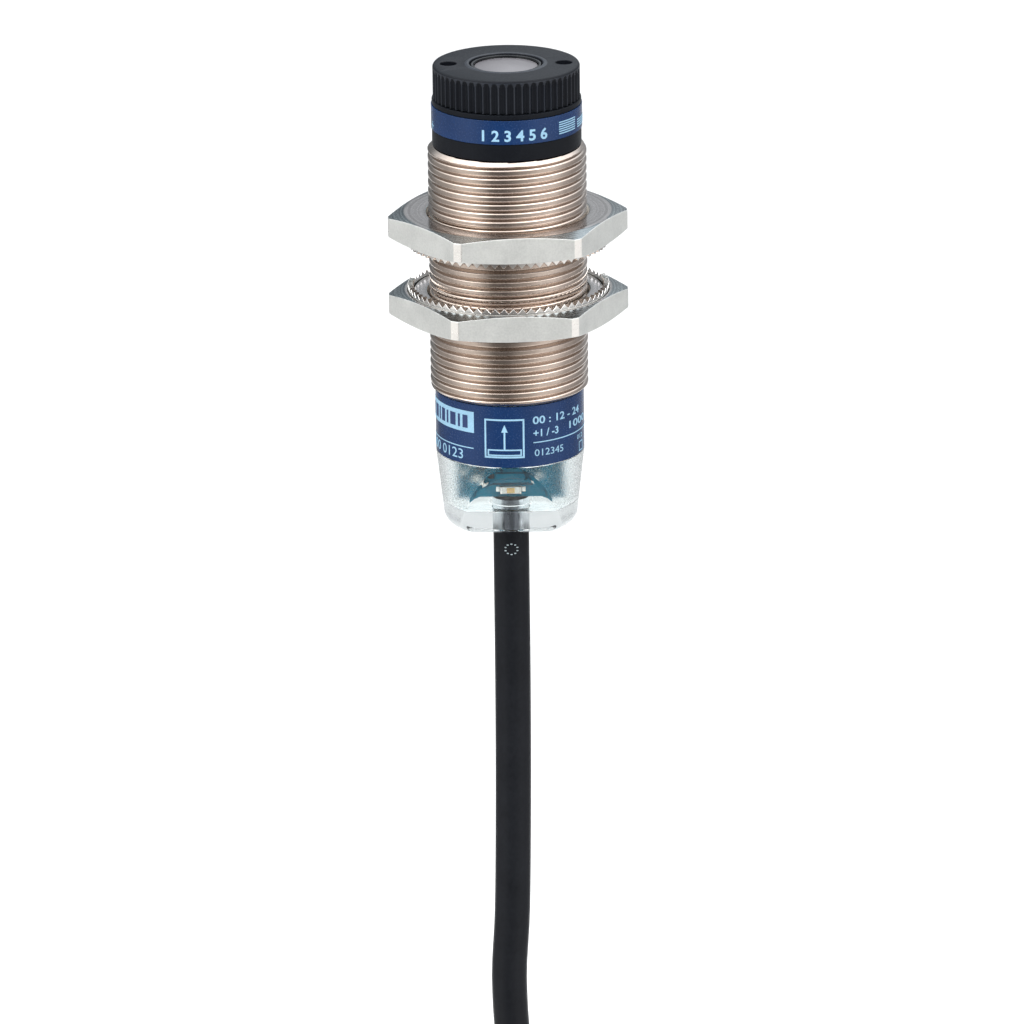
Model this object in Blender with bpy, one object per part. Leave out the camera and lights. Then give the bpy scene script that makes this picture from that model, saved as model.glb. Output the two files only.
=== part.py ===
"""M18 through-beam laser emitter: threaded barrel, focusing ring, locking nuts, clear rear cap and cable.

Sizes are in millimetres, and every mesh is written in metres. The axis of the sensor is Z, with the
beam leaving towards +Z. The origin is on the axis, half way between the two nuts, where a mounting
panel is clamped. The front of the printed marks faces -Y.
"""

import math

import bmesh
import bpy
from mathutils import Matrix, Vector

MM = 0.001
TURN = 2 * math.pi

# Driving dimensions
GAP = 0.1                   # clearance between neighbouring pieces
THREAD_PITCH = 1.0          # M18 x 1, right-handed
THREAD_CREST_R = 8.975
THREAD_ROOT_R = 8.40
NUT_THREAD_CLEARANCE = 0.12  # radial, between the nut's thread and the barrel's
BARREL_TOP = 13.9
BARREL_BOTTOM = -14.6
BARREL_BORE_R = 7.5
PLUG_R = BARREL_BORE_R - 0.15  # plastic parts that push into the barrel
NOSE_TOP = 23.2
RING_HEIGHT = 3.8
RING_R = 8.3
RING_FLUTES = 58
WINDOW_RIM = 0.08           # height of the raised rim round the window
BAND_HEIGHT = 2.85
BAND_R = 8.52
COLLAR_R = 8.43
NUT_ACROSS_FLATS = 24.0
NUT_ACROSS_CORNERS = 27.3   # over the six small corner flats
NUT_INNER_FACE = 3.06       # distance of the nut's toothed side from the origin
NUT_THICKNESS = 3.0
NUT_FACE_R = 11.9           # where the chamfer starts
FRONT_NUT_TURN = 5.4        # degrees, how the hexagons happen to stand
REAR_NUT_TURN = 3.4
TOOTH_COUNT = 70
TOOTH_HEIGHT = 0.47
TOOTH_FOOT = 0.22           # from the nut's inner face to the foot of the teeth
TOOTH_RING_R = 11.4
TOOTH_RING_WALL = 0.6
CAP_BOTTOM = -30.75
LABEL_BOTTOM = -21.85
LABEL_R = 8.45
CAP_LOW_R = 7.65
FACET_LOW_Y = 4.45          # distance of the cap's flat facets from the axis, at their foot
CAP_WALL = 0.9              # behind the facets
BOARD_WIDTH = 12.0
BOARD_THICKNESS = 1.0
BOARD_FRONT_Y = -0.9
BOARD_TOP = 6.6
BOARD_BOTTOM = -27.4
CABLE_R = 2.05
SHEATH_END = -27.75         # where the cable's jacket ends, inside the cap
HANK_TOP = -108.0           # highest point of the tied hank
HANK_BEND_R = 12.4          # bend of its innermost turns, to the middle of the cable
HANK_RUN = 66.0             # straight part of its runs
HANK_LAYERS = 2             # turns on top of each other
HANK_WIDE = 5               # turns side by side
LEAD_R = 0.65               # flying leads at the far end
ROUND = 32                  # sides of a large turned piece
PLAIN_ROUND = 24            # sides of the threads and of what lies inside
SMALL_ROUND = 16

COLOURS = {
    "black_plastic": ((0.030, 0.032, 0.038), 0.55, 0.0),
    "blue_print": ((0.016, 0.035, 0.135), 0.35, 0.0),
    "nickel": ((0.62, 0.58, 0.54), 0.28, 1.0),
    "nut_nickel": ((0.72, 0.71, 0.69), 0.38, 1.0),
    "clear_plastic": ((0.80, 0.84, 0.85), 0.20, 0.0),
    "lens_glass": ((0.55, 0.55, 0.56), 0.05, 0.0),
    "rubber_seal": ((0.02, 0.02, 0.02), 0.70, 0.0),
    "brass": ((0.62, 0.47, 0.22), 0.35, 1.0),
    "steel_can": ((0.60, 0.58, 0.52), 0.25, 1.0),
    "circuit_board": ((0.006, 0.13, 0.20), 0.45, 0.0),
    "chip_black": ((0.02, 0.02, 0.022), 0.50, 0.0),
    "capacitor_amber": ((0.50, 0.28, 0.05), 0.45, 0.0),
    "led_white": ((0.85, 0.80, 0.65), 0.35, 0.0),
    "cable_jacket": ((0.018, 0.020, 0.024), 0.50, 0.0),
    "wire_brown": ((0.16, 0.06, 0.025), 0.50, 0.0),
    "wire_blue": ((0.02, 0.08, 0.35), 0.50, 0.0),
    "wire_violet": ((0.16, 0.05, 0.28), 0.50, 0.0),
    "tie_fabric": ((0.05, 0.05, 0.055), 0.85, 0.0),
}


def clear_scene():
    for item in list(bpy.data.objects):
        bpy.data.objects.remove(item, do_unlink=True)


def material(slot):
    """The Principled material of one slot, made once."""
    made = bpy.data.materials.get(slot)
    if made:
        return made
    colour, roughness, metallic = COLOURS[slot]
    made = bpy.data.materials.new(slot)
    made.use_nodes = True
    shader = made.node_tree.nodes["Principled BSDF"]
    shader.inputs["Base Color"].default_value = (*colour, 1.0)
    shader.inputs["Roughness"].default_value = roughness
    shader.inputs["Metallic"].default_value = metallic
    made.diffuse_color = (*colour, 1.0)
    return made


def circle(radius, z, sides=ROUND, phase=0.0, centre=(0.0, 0.0)):
    """Points around the Z axis, or one point where the radius is 0."""
    if radius == 0:
        return [(centre[0], centre[1], z)]
    turns = [phase + TURN * i / sides for i in range(sides)]
    return [(centre[0] + radius * math.cos(a), centre[1] + radius * math.sin(a), z) for a in turns]


def join_loops(bm, low, high):
    """Faces between two closed loops of vertices, where one count divides the other."""
    if len(low) < len(high):
        low, high = high, low
    many, few = len(low), len(high)
    if few == 1:
        for i in range(many):
            bm.faces.new((low[i], low[(i + 1) % many], high[0]))
        return
    step = many // few
    for i in range(few):
        a, b = high[i], high[(i + 1) % few]
        span = [low[(i * step + k) % many] for k in range(step + 1)]
        if step == 1:
            bm.faces.new((span[0], span[1], b, a))
            continue
        middle = step // 2
        for k in range(middle):
            bm.faces.new((span[k], span[k + 1], a))
        bm.faces.new((span[middle], b, a))
        for k in range(middle, step):
            bm.faces.new((span[k], span[k + 1], b))


def skin(bm, loops, ring=True):
    """A closed surface through loops of points. A ring joins the last loop to the first."""
    rows = [[bm.verts.new(p) for p in loop] for loop in loops]
    pairs = list(zip(rows, rows[1:]))
    if ring:
        pairs.append((rows[-1], rows[0]))
    for low, high in pairs:
        join_loops(bm, low, high)


def place(name, bm, slot, origin=(0.0, 0.0, 0.0), smooth=30.0):
    """Make a named object from a bmesh in millimetres, with its origin at a point of the sensor's frame."""
    bmesh.ops.recalc_face_normals(bm, faces=bm.faces)
    bmesh.ops.translate(bm, verts=bm.verts, vec=-Vector(origin))
    bmesh.ops.scale(bm, verts=bm.verts, vec=(MM, MM, MM))
    mesh = bpy.data.meshes.new(name)
    bm.to_mesh(mesh)
    bm.free()
    made = bpy.data.objects.new(name, mesh)
    made.location = Vector(origin) * MM
    bpy.context.scene.collection.objects.link(made)
    if slot:
        mesh.materials.append(material(slot))
    if smooth:
        mesh.shade_smooth()
        mesh.set_sharp_from_angle(angle=math.radians(smooth))
    return made


def turned(
    name, profile, slot, sides=ROUND, ring=True, origin=(0.0, 0.0, 0.0), centre=(0.0, 0.0), phase=0.0
):
    """A turned piece from (radius, z) points. A ring closes on itself, and a solid ends at radius 0."""
    bm = bmesh.new()
    skin(bm, [circle(r, z, sides, phase, centre) for r, z in profile], ring)
    return place(name, bm, slot, origin)


def box(name, low, high, slot):
    bm = bmesh.new()
    size = [b - a for a, b in zip(low, high)]
    middle = [(a + b) / 2 for a, b in zip(low, high)]
    bmesh.ops.create_cube(bm, size=1.0, matrix=Matrix.Translation(middle) @ Matrix.Diagonal((*size, 1.0)))
    return place(name, bm, slot, smooth=0)


def boolean(target, tool, operation):
    """Cut, join or intersect, with the tool kept as a hidden guide."""
    tool.hide_render = True
    tool.display_type = "WIRE"
    step = target.modifiers.new(f"{operation.lower()}_{tool.name}", "BOOLEAN")
    step.operation = operation
    step.solver = "EXACT"
    step.object = tool
    return target


def seal(name, ring_r, z, section_r):
    """An O-ring: a torus around the axis."""
    sides = 6
    turns = [TURN * i / sides for i in range(sides)]
    profile = [(ring_r + section_r * math.cos(a), z + section_r * math.sin(a)) for a in turns]
    return turned(name, profile, "rubber_seal", PLAIN_ROUND)


def helix_solid(name, crest_r, root_r, low, high):
    """A solid right-hand screw with flanks at 60 degrees and sharp roots. A crest crosses +X at z = 0."""
    flank = (crest_r - root_r) * math.tan(math.radians(30))
    crest_flat = THREAD_PITCH - 2 * flank
    steps = [(crest_r, 0.0), (crest_r, crest_flat), (root_r, crest_flat + flank)]
    rows_per_turn = len(steps)
    first = math.floor(low / THREAD_PITCH) - 1
    turns = math.ceil(high / THREAD_PITCH) + 1 - first
    rows = turns * rows_per_turn
    bm = bmesh.new()
    grid = []
    for column in range(PLAIN_ROUND):
        share = column / PLAIN_ROUND
        x, y = math.cos(TURN * share), math.sin(TURN * share)
        line = []
        for row in range(rows):
            radius, rise = steps[row % rows_per_turn]
            z = (first + row // rows_per_turn + share) * THREAD_PITCH + rise - crest_flat / 2
            line.append(bm.verts.new((radius * x, radius * y, z)))
        grid.append(line)
    last = PLAIN_ROUND - 1

    def quads(left, right, count, shift):
        for row in range(count):
            bm.faces.new((left[row], right[row + shift], right[row + shift + 1], left[row + 1]))

    for column in range(last):
        quads(grid[column], grid[column + 1], rows - 1, 0)
    quads(grid[last], grid[0], rows - 1 - rows_per_turn, rows_per_turn)
    bottom_rim = [line[0] for line in grid] + grid[0][rows_per_turn:0:-1]
    top_rim = [line[-1] for line in grid] + grid[last][-2:-2 - rows_per_turn:-1]
    for rim, z in ((bottom_rim, first - 0.5), (top_rim, first + turns + 1.5)):
        tip = bm.verts.new((0.0, 0.0, z * THREAD_PITCH))
        for a, b in zip(rim, rim[1:] + rim[:1]):
            bm.faces.new((a, b, tip))
    return place(name, bm, None, smooth=0)


def make_barrel():
    """Nickel-plated brass tube, threaded from end to end, with a chamfer at each end of the thread."""
    chamfer = 0.45
    start_r = THREAD_ROOT_R + 0.05
    outside = THREAD_CREST_R + 0.5
    rise = (outside - start_r) * chamfer / (THREAD_CREST_R - start_r)
    profile = [
        (BARREL_BORE_R, BARREL_BOTTOM),
        (start_r, BARREL_BOTTOM),
        (outside, BARREL_BOTTOM + rise),
        (outside, BARREL_TOP - rise),
        (start_r, BARREL_TOP),
        (BARREL_BORE_R, BARREL_TOP),
    ]
    barrel = turned("threaded_barrel", profile, "nickel")
    screw = helix_solid("barrel_thread_guide", THREAD_CREST_R, THREAD_ROOT_R, BARREL_BOTTOM, BARREL_TOP)
    return boolean(barrel, screw, "INTERSECT")


def make_adjusting_ring():
    """Fluted cap that turns to focus the beam, with two blind holes for a pin spanner."""
    flute_depth = 0.24
    skirt_r = 6.9
    face_r = 8.0
    window_r = 4.15
    rim_width = 0.45
    disc = 1.3
    hole_r, hole_depth, hole_x = 0.95, 0.95, 6.5
    coarse = RING_FLUTES // 2
    fine = RING_FLUTES * 2
    bottom = NOSE_TOP - RING_HEIGHT
    flute_top = NOSE_TOP - 0.55

    def fluted(z):
        radii = [RING_R if i % 2 else RING_R - flute_depth for i in range(fine)]
        return [
            (r * math.cos(TURN * i / fine), r * math.sin(TURN * i / fine), z)
            for i, r in enumerate(radii)
        ]

    outline = [
        circle(skirt_r, bottom, coarse),
        circle(RING_R - flute_depth - 0.13, bottom, coarse),
        fluted(bottom + 0.1),
        fluted(flute_top),
        circle(RING_R, flute_top + 0.15, coarse),
        circle(face_r, NOSE_TOP, coarse),
        circle(window_r + rim_width, NOSE_TOP, coarse),
        circle(window_r + rim_width - 0.1, NOSE_TOP + WINDOW_RIM, coarse),
        circle(window_r + 0.1, NOSE_TOP + WINDOW_RIM, coarse),
        circle(window_r, NOSE_TOP, coarse),
        circle(window_r, NOSE_TOP - disc, coarse),
        circle(skirt_r, NOSE_TOP - disc, coarse),
    ]
    bm = bmesh.new()
    skin(bm, outline)
    ring = place("adjusting_ring", bm, "black_plastic", (0.0, 0.0, bottom))
    for side, name in ((-1, "pin_hole_left"), (1, "pin_hole_right")):
        low, high = NOSE_TOP - hole_depth, NOSE_TOP + 0.6
        hole = [(0.0, low), (hole_r, low), (hole_r, high), (0.0, high)]
        boolean(ring, turned(name, hole, None, 12, False, centre=(side * hole_x, 0.0)), "DIFFERENCE")
    return ring


def make_front_collar():
    """Fixed plastic nose: neck for the ring, seat for the printed band, plug into the barrel."""
    ring_bottom = NOSE_TOP - RING_HEIGHT
    strip_bottom = ring_bottom - 0.65
    band_bottom = strip_bottom - BAND_HEIGHT
    wall = 0.22
    seat_r = BAND_R - wall - GAP
    neck_r = 6.75
    bore_r = 4.75
    seal_floor_r = 6.2
    plug_bottom = BARREL_TOP - 4.0
    neck_top = NOSE_TOP - 1.5
    profile = [
        (bore_r, plug_bottom),
        (PLUG_R, plug_bottom),
        (PLUG_R, BARREL_TOP - 2.5),
        (neck_r, BARREL_TOP - 2.5),
        (neck_r, BARREL_TOP - 1.7),
        (PLUG_R, BARREL_TOP - 1.7),
        (PLUG_R, BARREL_TOP + GAP),
        (COLLAR_R, BARREL_TOP + GAP),
        (COLLAR_R, band_bottom),
        (seat_r, band_bottom),
        (seat_r, strip_bottom),
        (COLLAR_R, strip_bottom),
        (COLLAR_R, ring_bottom - GAP),
        (neck_r, ring_bottom - GAP),
        (neck_r, ring_bottom + 0.1),
        (seal_floor_r, ring_bottom + 0.1),
        (seal_floor_r, ring_bottom + 0.75),
        (neck_r, ring_bottom + 0.75),
        (neck_r, neck_top),
        (bore_r, neck_top),
    ]
    collar = turned("front_collar", profile, "black_plastic", PLAIN_ROUND)
    slots = box("guide_slot_guide", (-7.5, -0.7, NOSE_TOP - 2.9), (7.5, 0.7, NOSE_TOP), None)
    boolean(collar, slots, "DIFFERENCE")
    band = [
        (BAND_R - wall, band_bottom + 0.05),
        (BAND_R, band_bottom + 0.05),
        (BAND_R, strip_bottom - 0.05),
        (BAND_R - wall, strip_bottom - 0.05),
    ]
    turned("front_band", band, "blue_print")
    seal("ring_seal", 6.55, ring_bottom + 0.42, 0.28)
    seal("collar_seal", 7.12, BARREL_TOP - 2.1, 0.3)


def make_optics():
    """Lens in a sliding carrier that two lugs keep from turning, with a stop at its rear."""
    origin = (0.0, 0.0, NOSE_TOP - 2.2)
    path_r, foot_r, tube_r, lens_r = 3.3, 4.6, 3.98, 3.55
    foot, foot_top, lip, ledge = NOSE_TOP - 6.2, NOSE_TOP - 4.6, NOSE_TOP - 0.1, NOSE_TOP - 0.85
    sleeve = [
        (path_r, foot), (foot_r, foot), (foot_r, foot_top), (tube_r, foot_top), (tube_r, lip),
        (lens_r + 0.13, lip), (lens_r + 0.13, ledge), (path_r, ledge),
    ]
    carrier = turned("lens_carrier", sleeve, "black_plastic", PLAIN_ROUND, origin=origin)
    bar = box("lug_guide", (-6.4, -0.55, NOSE_TOP - 2.4), (6.4, 0.55, NOSE_TOP - 2.0), None)
    bore_r, low, high = path_r + 0.15, foot - 2.0, ledge - 0.1
    path = [(0.0, low), (bore_r, low), (bore_r, high), (0.0, high)]
    tunnel = turned("light_path_guide", path, None, ring=False)
    boolean(bar, tunnel, "DIFFERENCE")
    boolean(carrier, bar, "UNION")
    rear, front = ledge + 0.05, NOSE_TOP - 0.35
    rear_bulge, front_bulge = 0.7, 0.35
    seat_r = path_r - 0.2
    lens = [(seat_r * share, rear - rear_bulge * (1 - share ** 2)) for share in (0.0, 0.5, 1.0)]
    lens += [(lens_r, rear), (lens_r, front)]
    lens += [(lens_r * share, front + front_bulge * (1 - share ** 2)) for share in (0.8, 0.45, 0.0)]
    turned("front_lens", lens, "lens_glass", PLAIN_ROUND, False, origin)
    stop_low, stop_high = foot + 0.3, foot + 0.9
    stop = [(1.6, stop_low), (3.2, stop_low), (3.2, stop_high), (1.6, stop_high)]
    turned("aperture_stop", stop, "brass", SMALL_ROUND, origin=origin)


def make_diode():
    """Laser diode in a brass holder that also grips the top of the circuit board."""
    holder = [
        (2.1, 5.2), (4.5, 5.2), (4.5, 7.6), (7.3, 7.6), (7.3, 9.6), (2.95, 9.6), (2.95, 8.3), (2.1, 8.3),
    ]
    held = turned("diode_holder", holder, "brass", PLAIN_ROUND)
    low, high = (-6.3, BOARD_FRONT_Y - 0.2, 4.0), (6.3, BOARD_FRONT_Y + BOARD_THICKNESS + 0.2, 6.9)
    boolean(held, box("board_slot_guide", low, high, None), "DIFFERENCE")
    can = [(0.0, 8.4), (2.8, 8.4), (2.8, 9.5), (1.9, 9.5), (1.78, 11.9), (0.0, 11.9)]
    turned("laser_diode", can, "steel_can", SMALL_ROUND, False)
    pin = [(0.0, 4.4), (0.22, 4.4), (0.22, 8.3), (0.0, 8.3)]
    for name, spot in (("left", (-0.95, -1.35)), ("right", (0.95, -1.35)), ("rear", (0.0, 0.5))):
        turned(f"diode_pin_{name}", pin, "steel_can", 6, False, centre=spot)


def make_board():
    """Circuit board with its larger parts: lamps at the foot, which show through the clear cap."""
    half = BOARD_WIDTH / 2
    back = BOARD_FRONT_Y + BOARD_THICKNESS
    bm = bmesh.new()
    outline = [
        (-half, BOARD_BOTTOM), (half, BOARD_BOTTOM), (half, 5.0), (half - 1.9, 5.0),
        (half - 1.9, BOARD_TOP), (-half + 1.9, BOARD_TOP), (-half + 1.9, 5.0), (-half, 5.0),
    ]
    skin_between(bm, outline, BOARD_FRONT_Y, back)
    place("main_board", bm, "circuit_board", smooth=0)
    front = BOARD_FRONT_Y - GAP
    rear = back + GAP
    box("status_led", (-1.2, front - 0.6, -26.9), (1.2, front, -26.1), "led_white")
    box("stability_led", (-4.3, front - 0.5, -25.2), (-3.3, front, -24.5), "led_white")
    box("led_resistor", (-3.6, front - 0.4, -23.9), (-2.6, front, -23.3), "chip_black")
    box("driver_chip", (-2.0, front - 1.5, -3.0), (2.0, front, 2.0), "chip_black")
    box("regulator_chip", (-2.2, rear, -6.0), (2.2, rear + 1.5, -2.0), "chip_black")
    box("filter_capacitor", (-1.6, rear, -14.0), (1.6, rear + 1.9, -8.0), "capacitor_amber")
    box("protection_diode", (-1.3, front - 1.3, -12.0), (1.3, front, -8.0), "chip_black")


def skin_between(bm, outline, near, far):
    """Extrude an outline of (x, z) points from y = near to y = far."""
    rows = [[bm.verts.new((x, y, z)) for x, z in outline] for y in (near, far)]
    bm.faces.new(rows[0])
    bm.faces.new(rows[1])
    join_loops(bm, *rows)


def facet_guide(name, side, inset=0.0):
    """A block beyond one of the cap's two flat facets, or beyond a plane that lies inset behind it."""
    low_y, high_y = FACET_LOW_Y - inset, LABEL_R - inset
    slope = (high_y - low_y) / (LABEL_BOTTOM - CAP_BOTTOM)
    past, far, half = 2.0, 12.0, 9.0
    low, high = CAP_BOTTOM - past, LABEL_BOTTOM - 0.15 + 2 * inset
    near_low, near_high = (low_y + (z - CAP_BOTTOM) * slope for z in (low, high))
    outline = [(near_low, low), (far, low), (far, high), (near_high, high)]
    bm = bmesh.new()
    rows = [[bm.verts.new((x, side * y, z)) for y, z in outline] for x in (-half, half)]
    bm.faces.new(rows[0])
    bm.faces.new(rows[1])
    join_loops(bm, *rows)
    return place(name, bm, None, smooth=0)


def make_rear():
    """Clear cap that closes the barrel, the printed label around its neck, and the cable's crimp sleeve."""
    shoulder = BARREL_BOTTOM - GAP
    neck_r = 8.15
    plug_top = BARREL_BOTTOM + 4.0
    corner_r = 1.7
    corner = []
    for i in range(5):
        angle = math.radians(90 * i / 4)
        r = CAP_LOW_R - corner_r + corner_r * math.sin(angle)
        corner.append((r, CAP_BOTTOM + corner_r - corner_r * math.cos(angle)))
    inside_r, floor = 6.3, CAP_BOTTOM + 2.75
    seal_r = PLUG_R - 0.5
    exit_r = CABLE_R + 0.2
    sleeve_seat_r = exit_r + 0.6
    profile = [(exit_r, CAP_BOTTOM)] + corner + [
        (LABEL_R, LABEL_BOTTOM - GAP),
        (neck_r, LABEL_BOTTOM - GAP),
        (neck_r, shoulder),
        (PLUG_R, shoulder),
        (PLUG_R, plug_top - 1.6),
        (seal_r, plug_top - 1.6),
        (seal_r, plug_top - 0.9),
        (PLUG_R, plug_top - 0.9),
        (PLUG_R, plug_top),
        (sleeve_seat_r, plug_top),
        (sleeve_seat_r, CAP_BOTTOM + 0.85),
        (exit_r, CAP_BOTTOM + 0.85),
    ]
    cap = turned("rear_cap", profile, "clear_plastic", PLAIN_ROUND)
    room = [(0.0, floor), (inside_r, floor), (inside_r, plug_top + 1.0), (0.0, plug_top + 1.0)]
    cavity = turned("cap_cavity_guide", room, None, ring=False, phase=0.021)
    for side, end in ((-1, "front"), (1, "back")):
        boolean(cap, facet_guide(f"{end}_facet_guide", side), "DIFFERENCE")
        boolean(cavity, facet_guide(f"{end}_inner_facet_guide", side, CAP_WALL), "DIFFERENCE")
    boolean(cap, cavity, "DIFFERENCE")
    seal("cap_seal", 7.17, plug_top - 1.25, 0.27)
    label = [
        (8.22, LABEL_BOTTOM), (LABEL_R, LABEL_BOTTOM), (LABEL_R, shoulder + 0.02), (8.22, shoulder + 0.02),
    ]
    turned("rear_label", label, "blue_print")
    sleeve = [(CABLE_R + 0.15, -29.7), (2.65, -29.7), (2.65, -27.5), (CABLE_R + 0.15, -27.5)]
    turned("crimp_sleeve", sleeve, "steel_can", SMALL_ROUND)


def make_nut(name, side, hex_turn):
    """Hexagon nut, chamfered on both faces, with a groove on its inner face for the toothed ring.

    side is 1 for the nut nearer the lens and -1 for the one nearer the cable.
    """
    inner, outer = side * NUT_INNER_FACE, side * (NUT_INNER_FACE + NUT_THICKNESS)
    low, high = min(inner, outer), max(inner, outer)
    flat_r = NUT_ACROSS_FLATS / 2
    corner_r = NUT_ACROSS_CORNERS / 2
    trim = math.acos(flat_r / math.hypot(flat_r, flat_r * math.tan(math.radians(30)) - 0.55))
    points = []
    for k in range(6):
        middle = math.radians(hex_turn - 90 + 60 * k)
        reach = flat_r / math.cos(trim)
        points += [(reach, middle - trim), (reach, middle + trim)]
    bm = bmesh.new()
    prism = [
        [(r * math.cos(a), r * math.sin(a), z) for r, a in points] for z in (low - 1.0, high + 1.0)
    ]
    skin(bm, [[(0.0, 0.0, low - 1.0)], *prism, [(0.0, 0.0, high + 1.0)]], False)
    nut = place(name, bm, "nut_nickel", (0.0, 0.0, inner), 20.0)
    drop = (corner_r + 0.5 - NUT_FACE_R) * 0.24
    blank = [
        (0.0, low), (NUT_FACE_R, low), (corner_r + 0.5, low + drop), (corner_r + 0.5, high - drop),
        (NUT_FACE_R, high), (0.0, high),
    ]
    boolean(nut, turned(f"{name}_chamfer_guide", blank, None, 48, False, phase=0.021), "INTERSECT")
    deep, recess = side * (NUT_INNER_FACE + 0.95), side * (NUT_INNER_FACE + 0.12)
    outside = side * (NUT_INNER_FACE - 1.0)
    groove_r = TOOTH_RING_R + GAP
    groove = [
        (0.0, recess), (TOOTH_RING_R - TOOTH_RING_WALL - GAP, recess),
        (TOOTH_RING_R - TOOTH_RING_WALL - GAP, deep), (groove_r, deep), (groove_r, outside), (0.0, outside),
    ]
    boolean(nut, turned(f"{name}_groove_guide", groove, None, ROUND, False, phase=0.043), "DIFFERENCE")
    swell = 1 / math.cos(math.pi / PLAIN_ROUND)
    crest_r = (THREAD_CREST_R + NUT_THREAD_CLEARANCE) * swell
    root_r = (THREAD_ROOT_R + NUT_THREAD_CLEARANCE) * swell
    screw = helix_solid(f"{name}_thread_guide", crest_r, root_r, low, high)
    boolean(nut, screw, "DIFFERENCE")
    lead_in = 0.45
    mouth_r = crest_r + 0.1
    for end, face, into in (("inner", recess, side), ("outer", outer, -side)):
        cone = [
            (0.0, face - into), (mouth_r + 1.0, face - into), (mouth_r - lead_in, face + into * lead_in),
            (0.0, face + into * lead_in),
        ]
        guide = turned(f"{name}_{end}_mouth_guide", cone, None, ROUND, False, phase=0.064)
        boolean(nut, guide, "DIFFERENCE")
    return nut


def make_tooth_ring(name, side):
    """Toothed ring held in the nut's groove. It stands still on the panel while the nut turns behind it."""
    columns = 2 * TOOTH_COUNT
    base = side * (NUT_INNER_FACE + 0.85)
    valley = NUT_INNER_FACE - TOOTH_FOOT
    inner_r = TOOTH_RING_R - TOOTH_RING_WALL

    def crown(radius):
        heights = [valley - (0.0 if i % 2 else TOOTH_HEIGHT) for i in range(columns)]
        return [
            (radius * math.cos(TURN * i / columns), radius * math.sin(TURN * i / columns), side * z)
            for i, z in enumerate(heights)
        ]

    coarse = columns // 4
    bm = bmesh.new()
    skin(bm, [circle(inner_r, base, coarse), circle(TOOTH_RING_R, base, coarse), crown(TOOTH_RING_R),
              crown(inner_r)])
    return place(name, bm, "nut_nickel", (0.0, 0.0, base), 20.0)


def smooth_line(points, spacing):
    """Points at an even spacing along a Catmull-Rom curve through the route's points."""
    knots = [Vector(p) for p in points]
    knots = [2 * knots[0] - knots[1]] + knots + [2 * knots[-1] - knots[-2]]
    dense = []
    for a, b, c, d in zip(knots, knots[1:], knots[2:], knots[3:]):
        for i in range(20):
            t = i / 20
            dense.append(0.5 * (2 * b + (c - a) * t + (2 * a - 5 * b + 4 * c - d) * t * t
                                + (3 * b - a - 3 * c + d) * t ** 3))
    dense.append(knots[-2])
    lengths = [0.0]
    for a, b in zip(dense, dense[1:]):
        lengths.append(lengths[-1] + (b - a).length)
    count = max(2, round(lengths[-1] / spacing))
    line, at = [], 0
    for i in range(count + 1):
        wanted = lengths[-1] * i / count
        while at < len(dense) - 2 and lengths[at + 1] < wanted:
            at += 1
        share = (wanted - lengths[at]) / (lengths[at + 1] - lengths[at])
        line.append(dense[at].lerp(dense[at + 1], share))
    return line


def tube(name, points, radius, slot, spacing, resolution=2):
    """A round wire or cable along a route, as a curve with filled ends."""
    curve = bpy.data.curves.new(name, "CURVE")
    curve.dimensions = "3D"
    curve.bevel_depth = radius * MM
    curve.bevel_resolution = resolution
    curve.use_fill_caps = True
    line = smooth_line(points, spacing)
    spline = curve.splines.new("POLY")
    spline.points.add(len(line) - 1)
    for knot, p in zip(spline.points, line):
        knot.co = (*(p * MM), 1.0)
    curve.materials.append(material(slot))
    made = bpy.data.objects.new(name, curve)
    bpy.context.scene.collection.objects.link(made)
    return made


# Route of the cable from inside the cap to the hank, and from the hank to its end
CABLE_ROUTE = [
    (0.0, 0.0, SHEATH_END),
    (0.0, 0.0, -36.0),
    (0.0, 0.0, -50.0),
    (-0.1, 0.1, -64.0),
    (-0.35, 0.4, -78.0),
    (-0.8, 1.2, -87.5),
    (-0.1, 3.2, -97.5),
    (2.4, 5.9, -105.6),
]
TAIL_X = HANK_BEND_R + 2 * CABLE_R
TAIL_TOP = HANK_TOP - 2 * (TAIL_X + CABLE_R) - HANK_RUN + 5.8
TAIL_ROUTE = [
    (TAIL_X, 2 * CABLE_R, TAIL_TOP),
    (TAIL_X - 0.2, 2 * CABLE_R, TAIL_TOP - 4.5),
    (TAIL_X - 0.7, 2 * CABLE_R, TAIL_TOP - 9.5),
]


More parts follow.
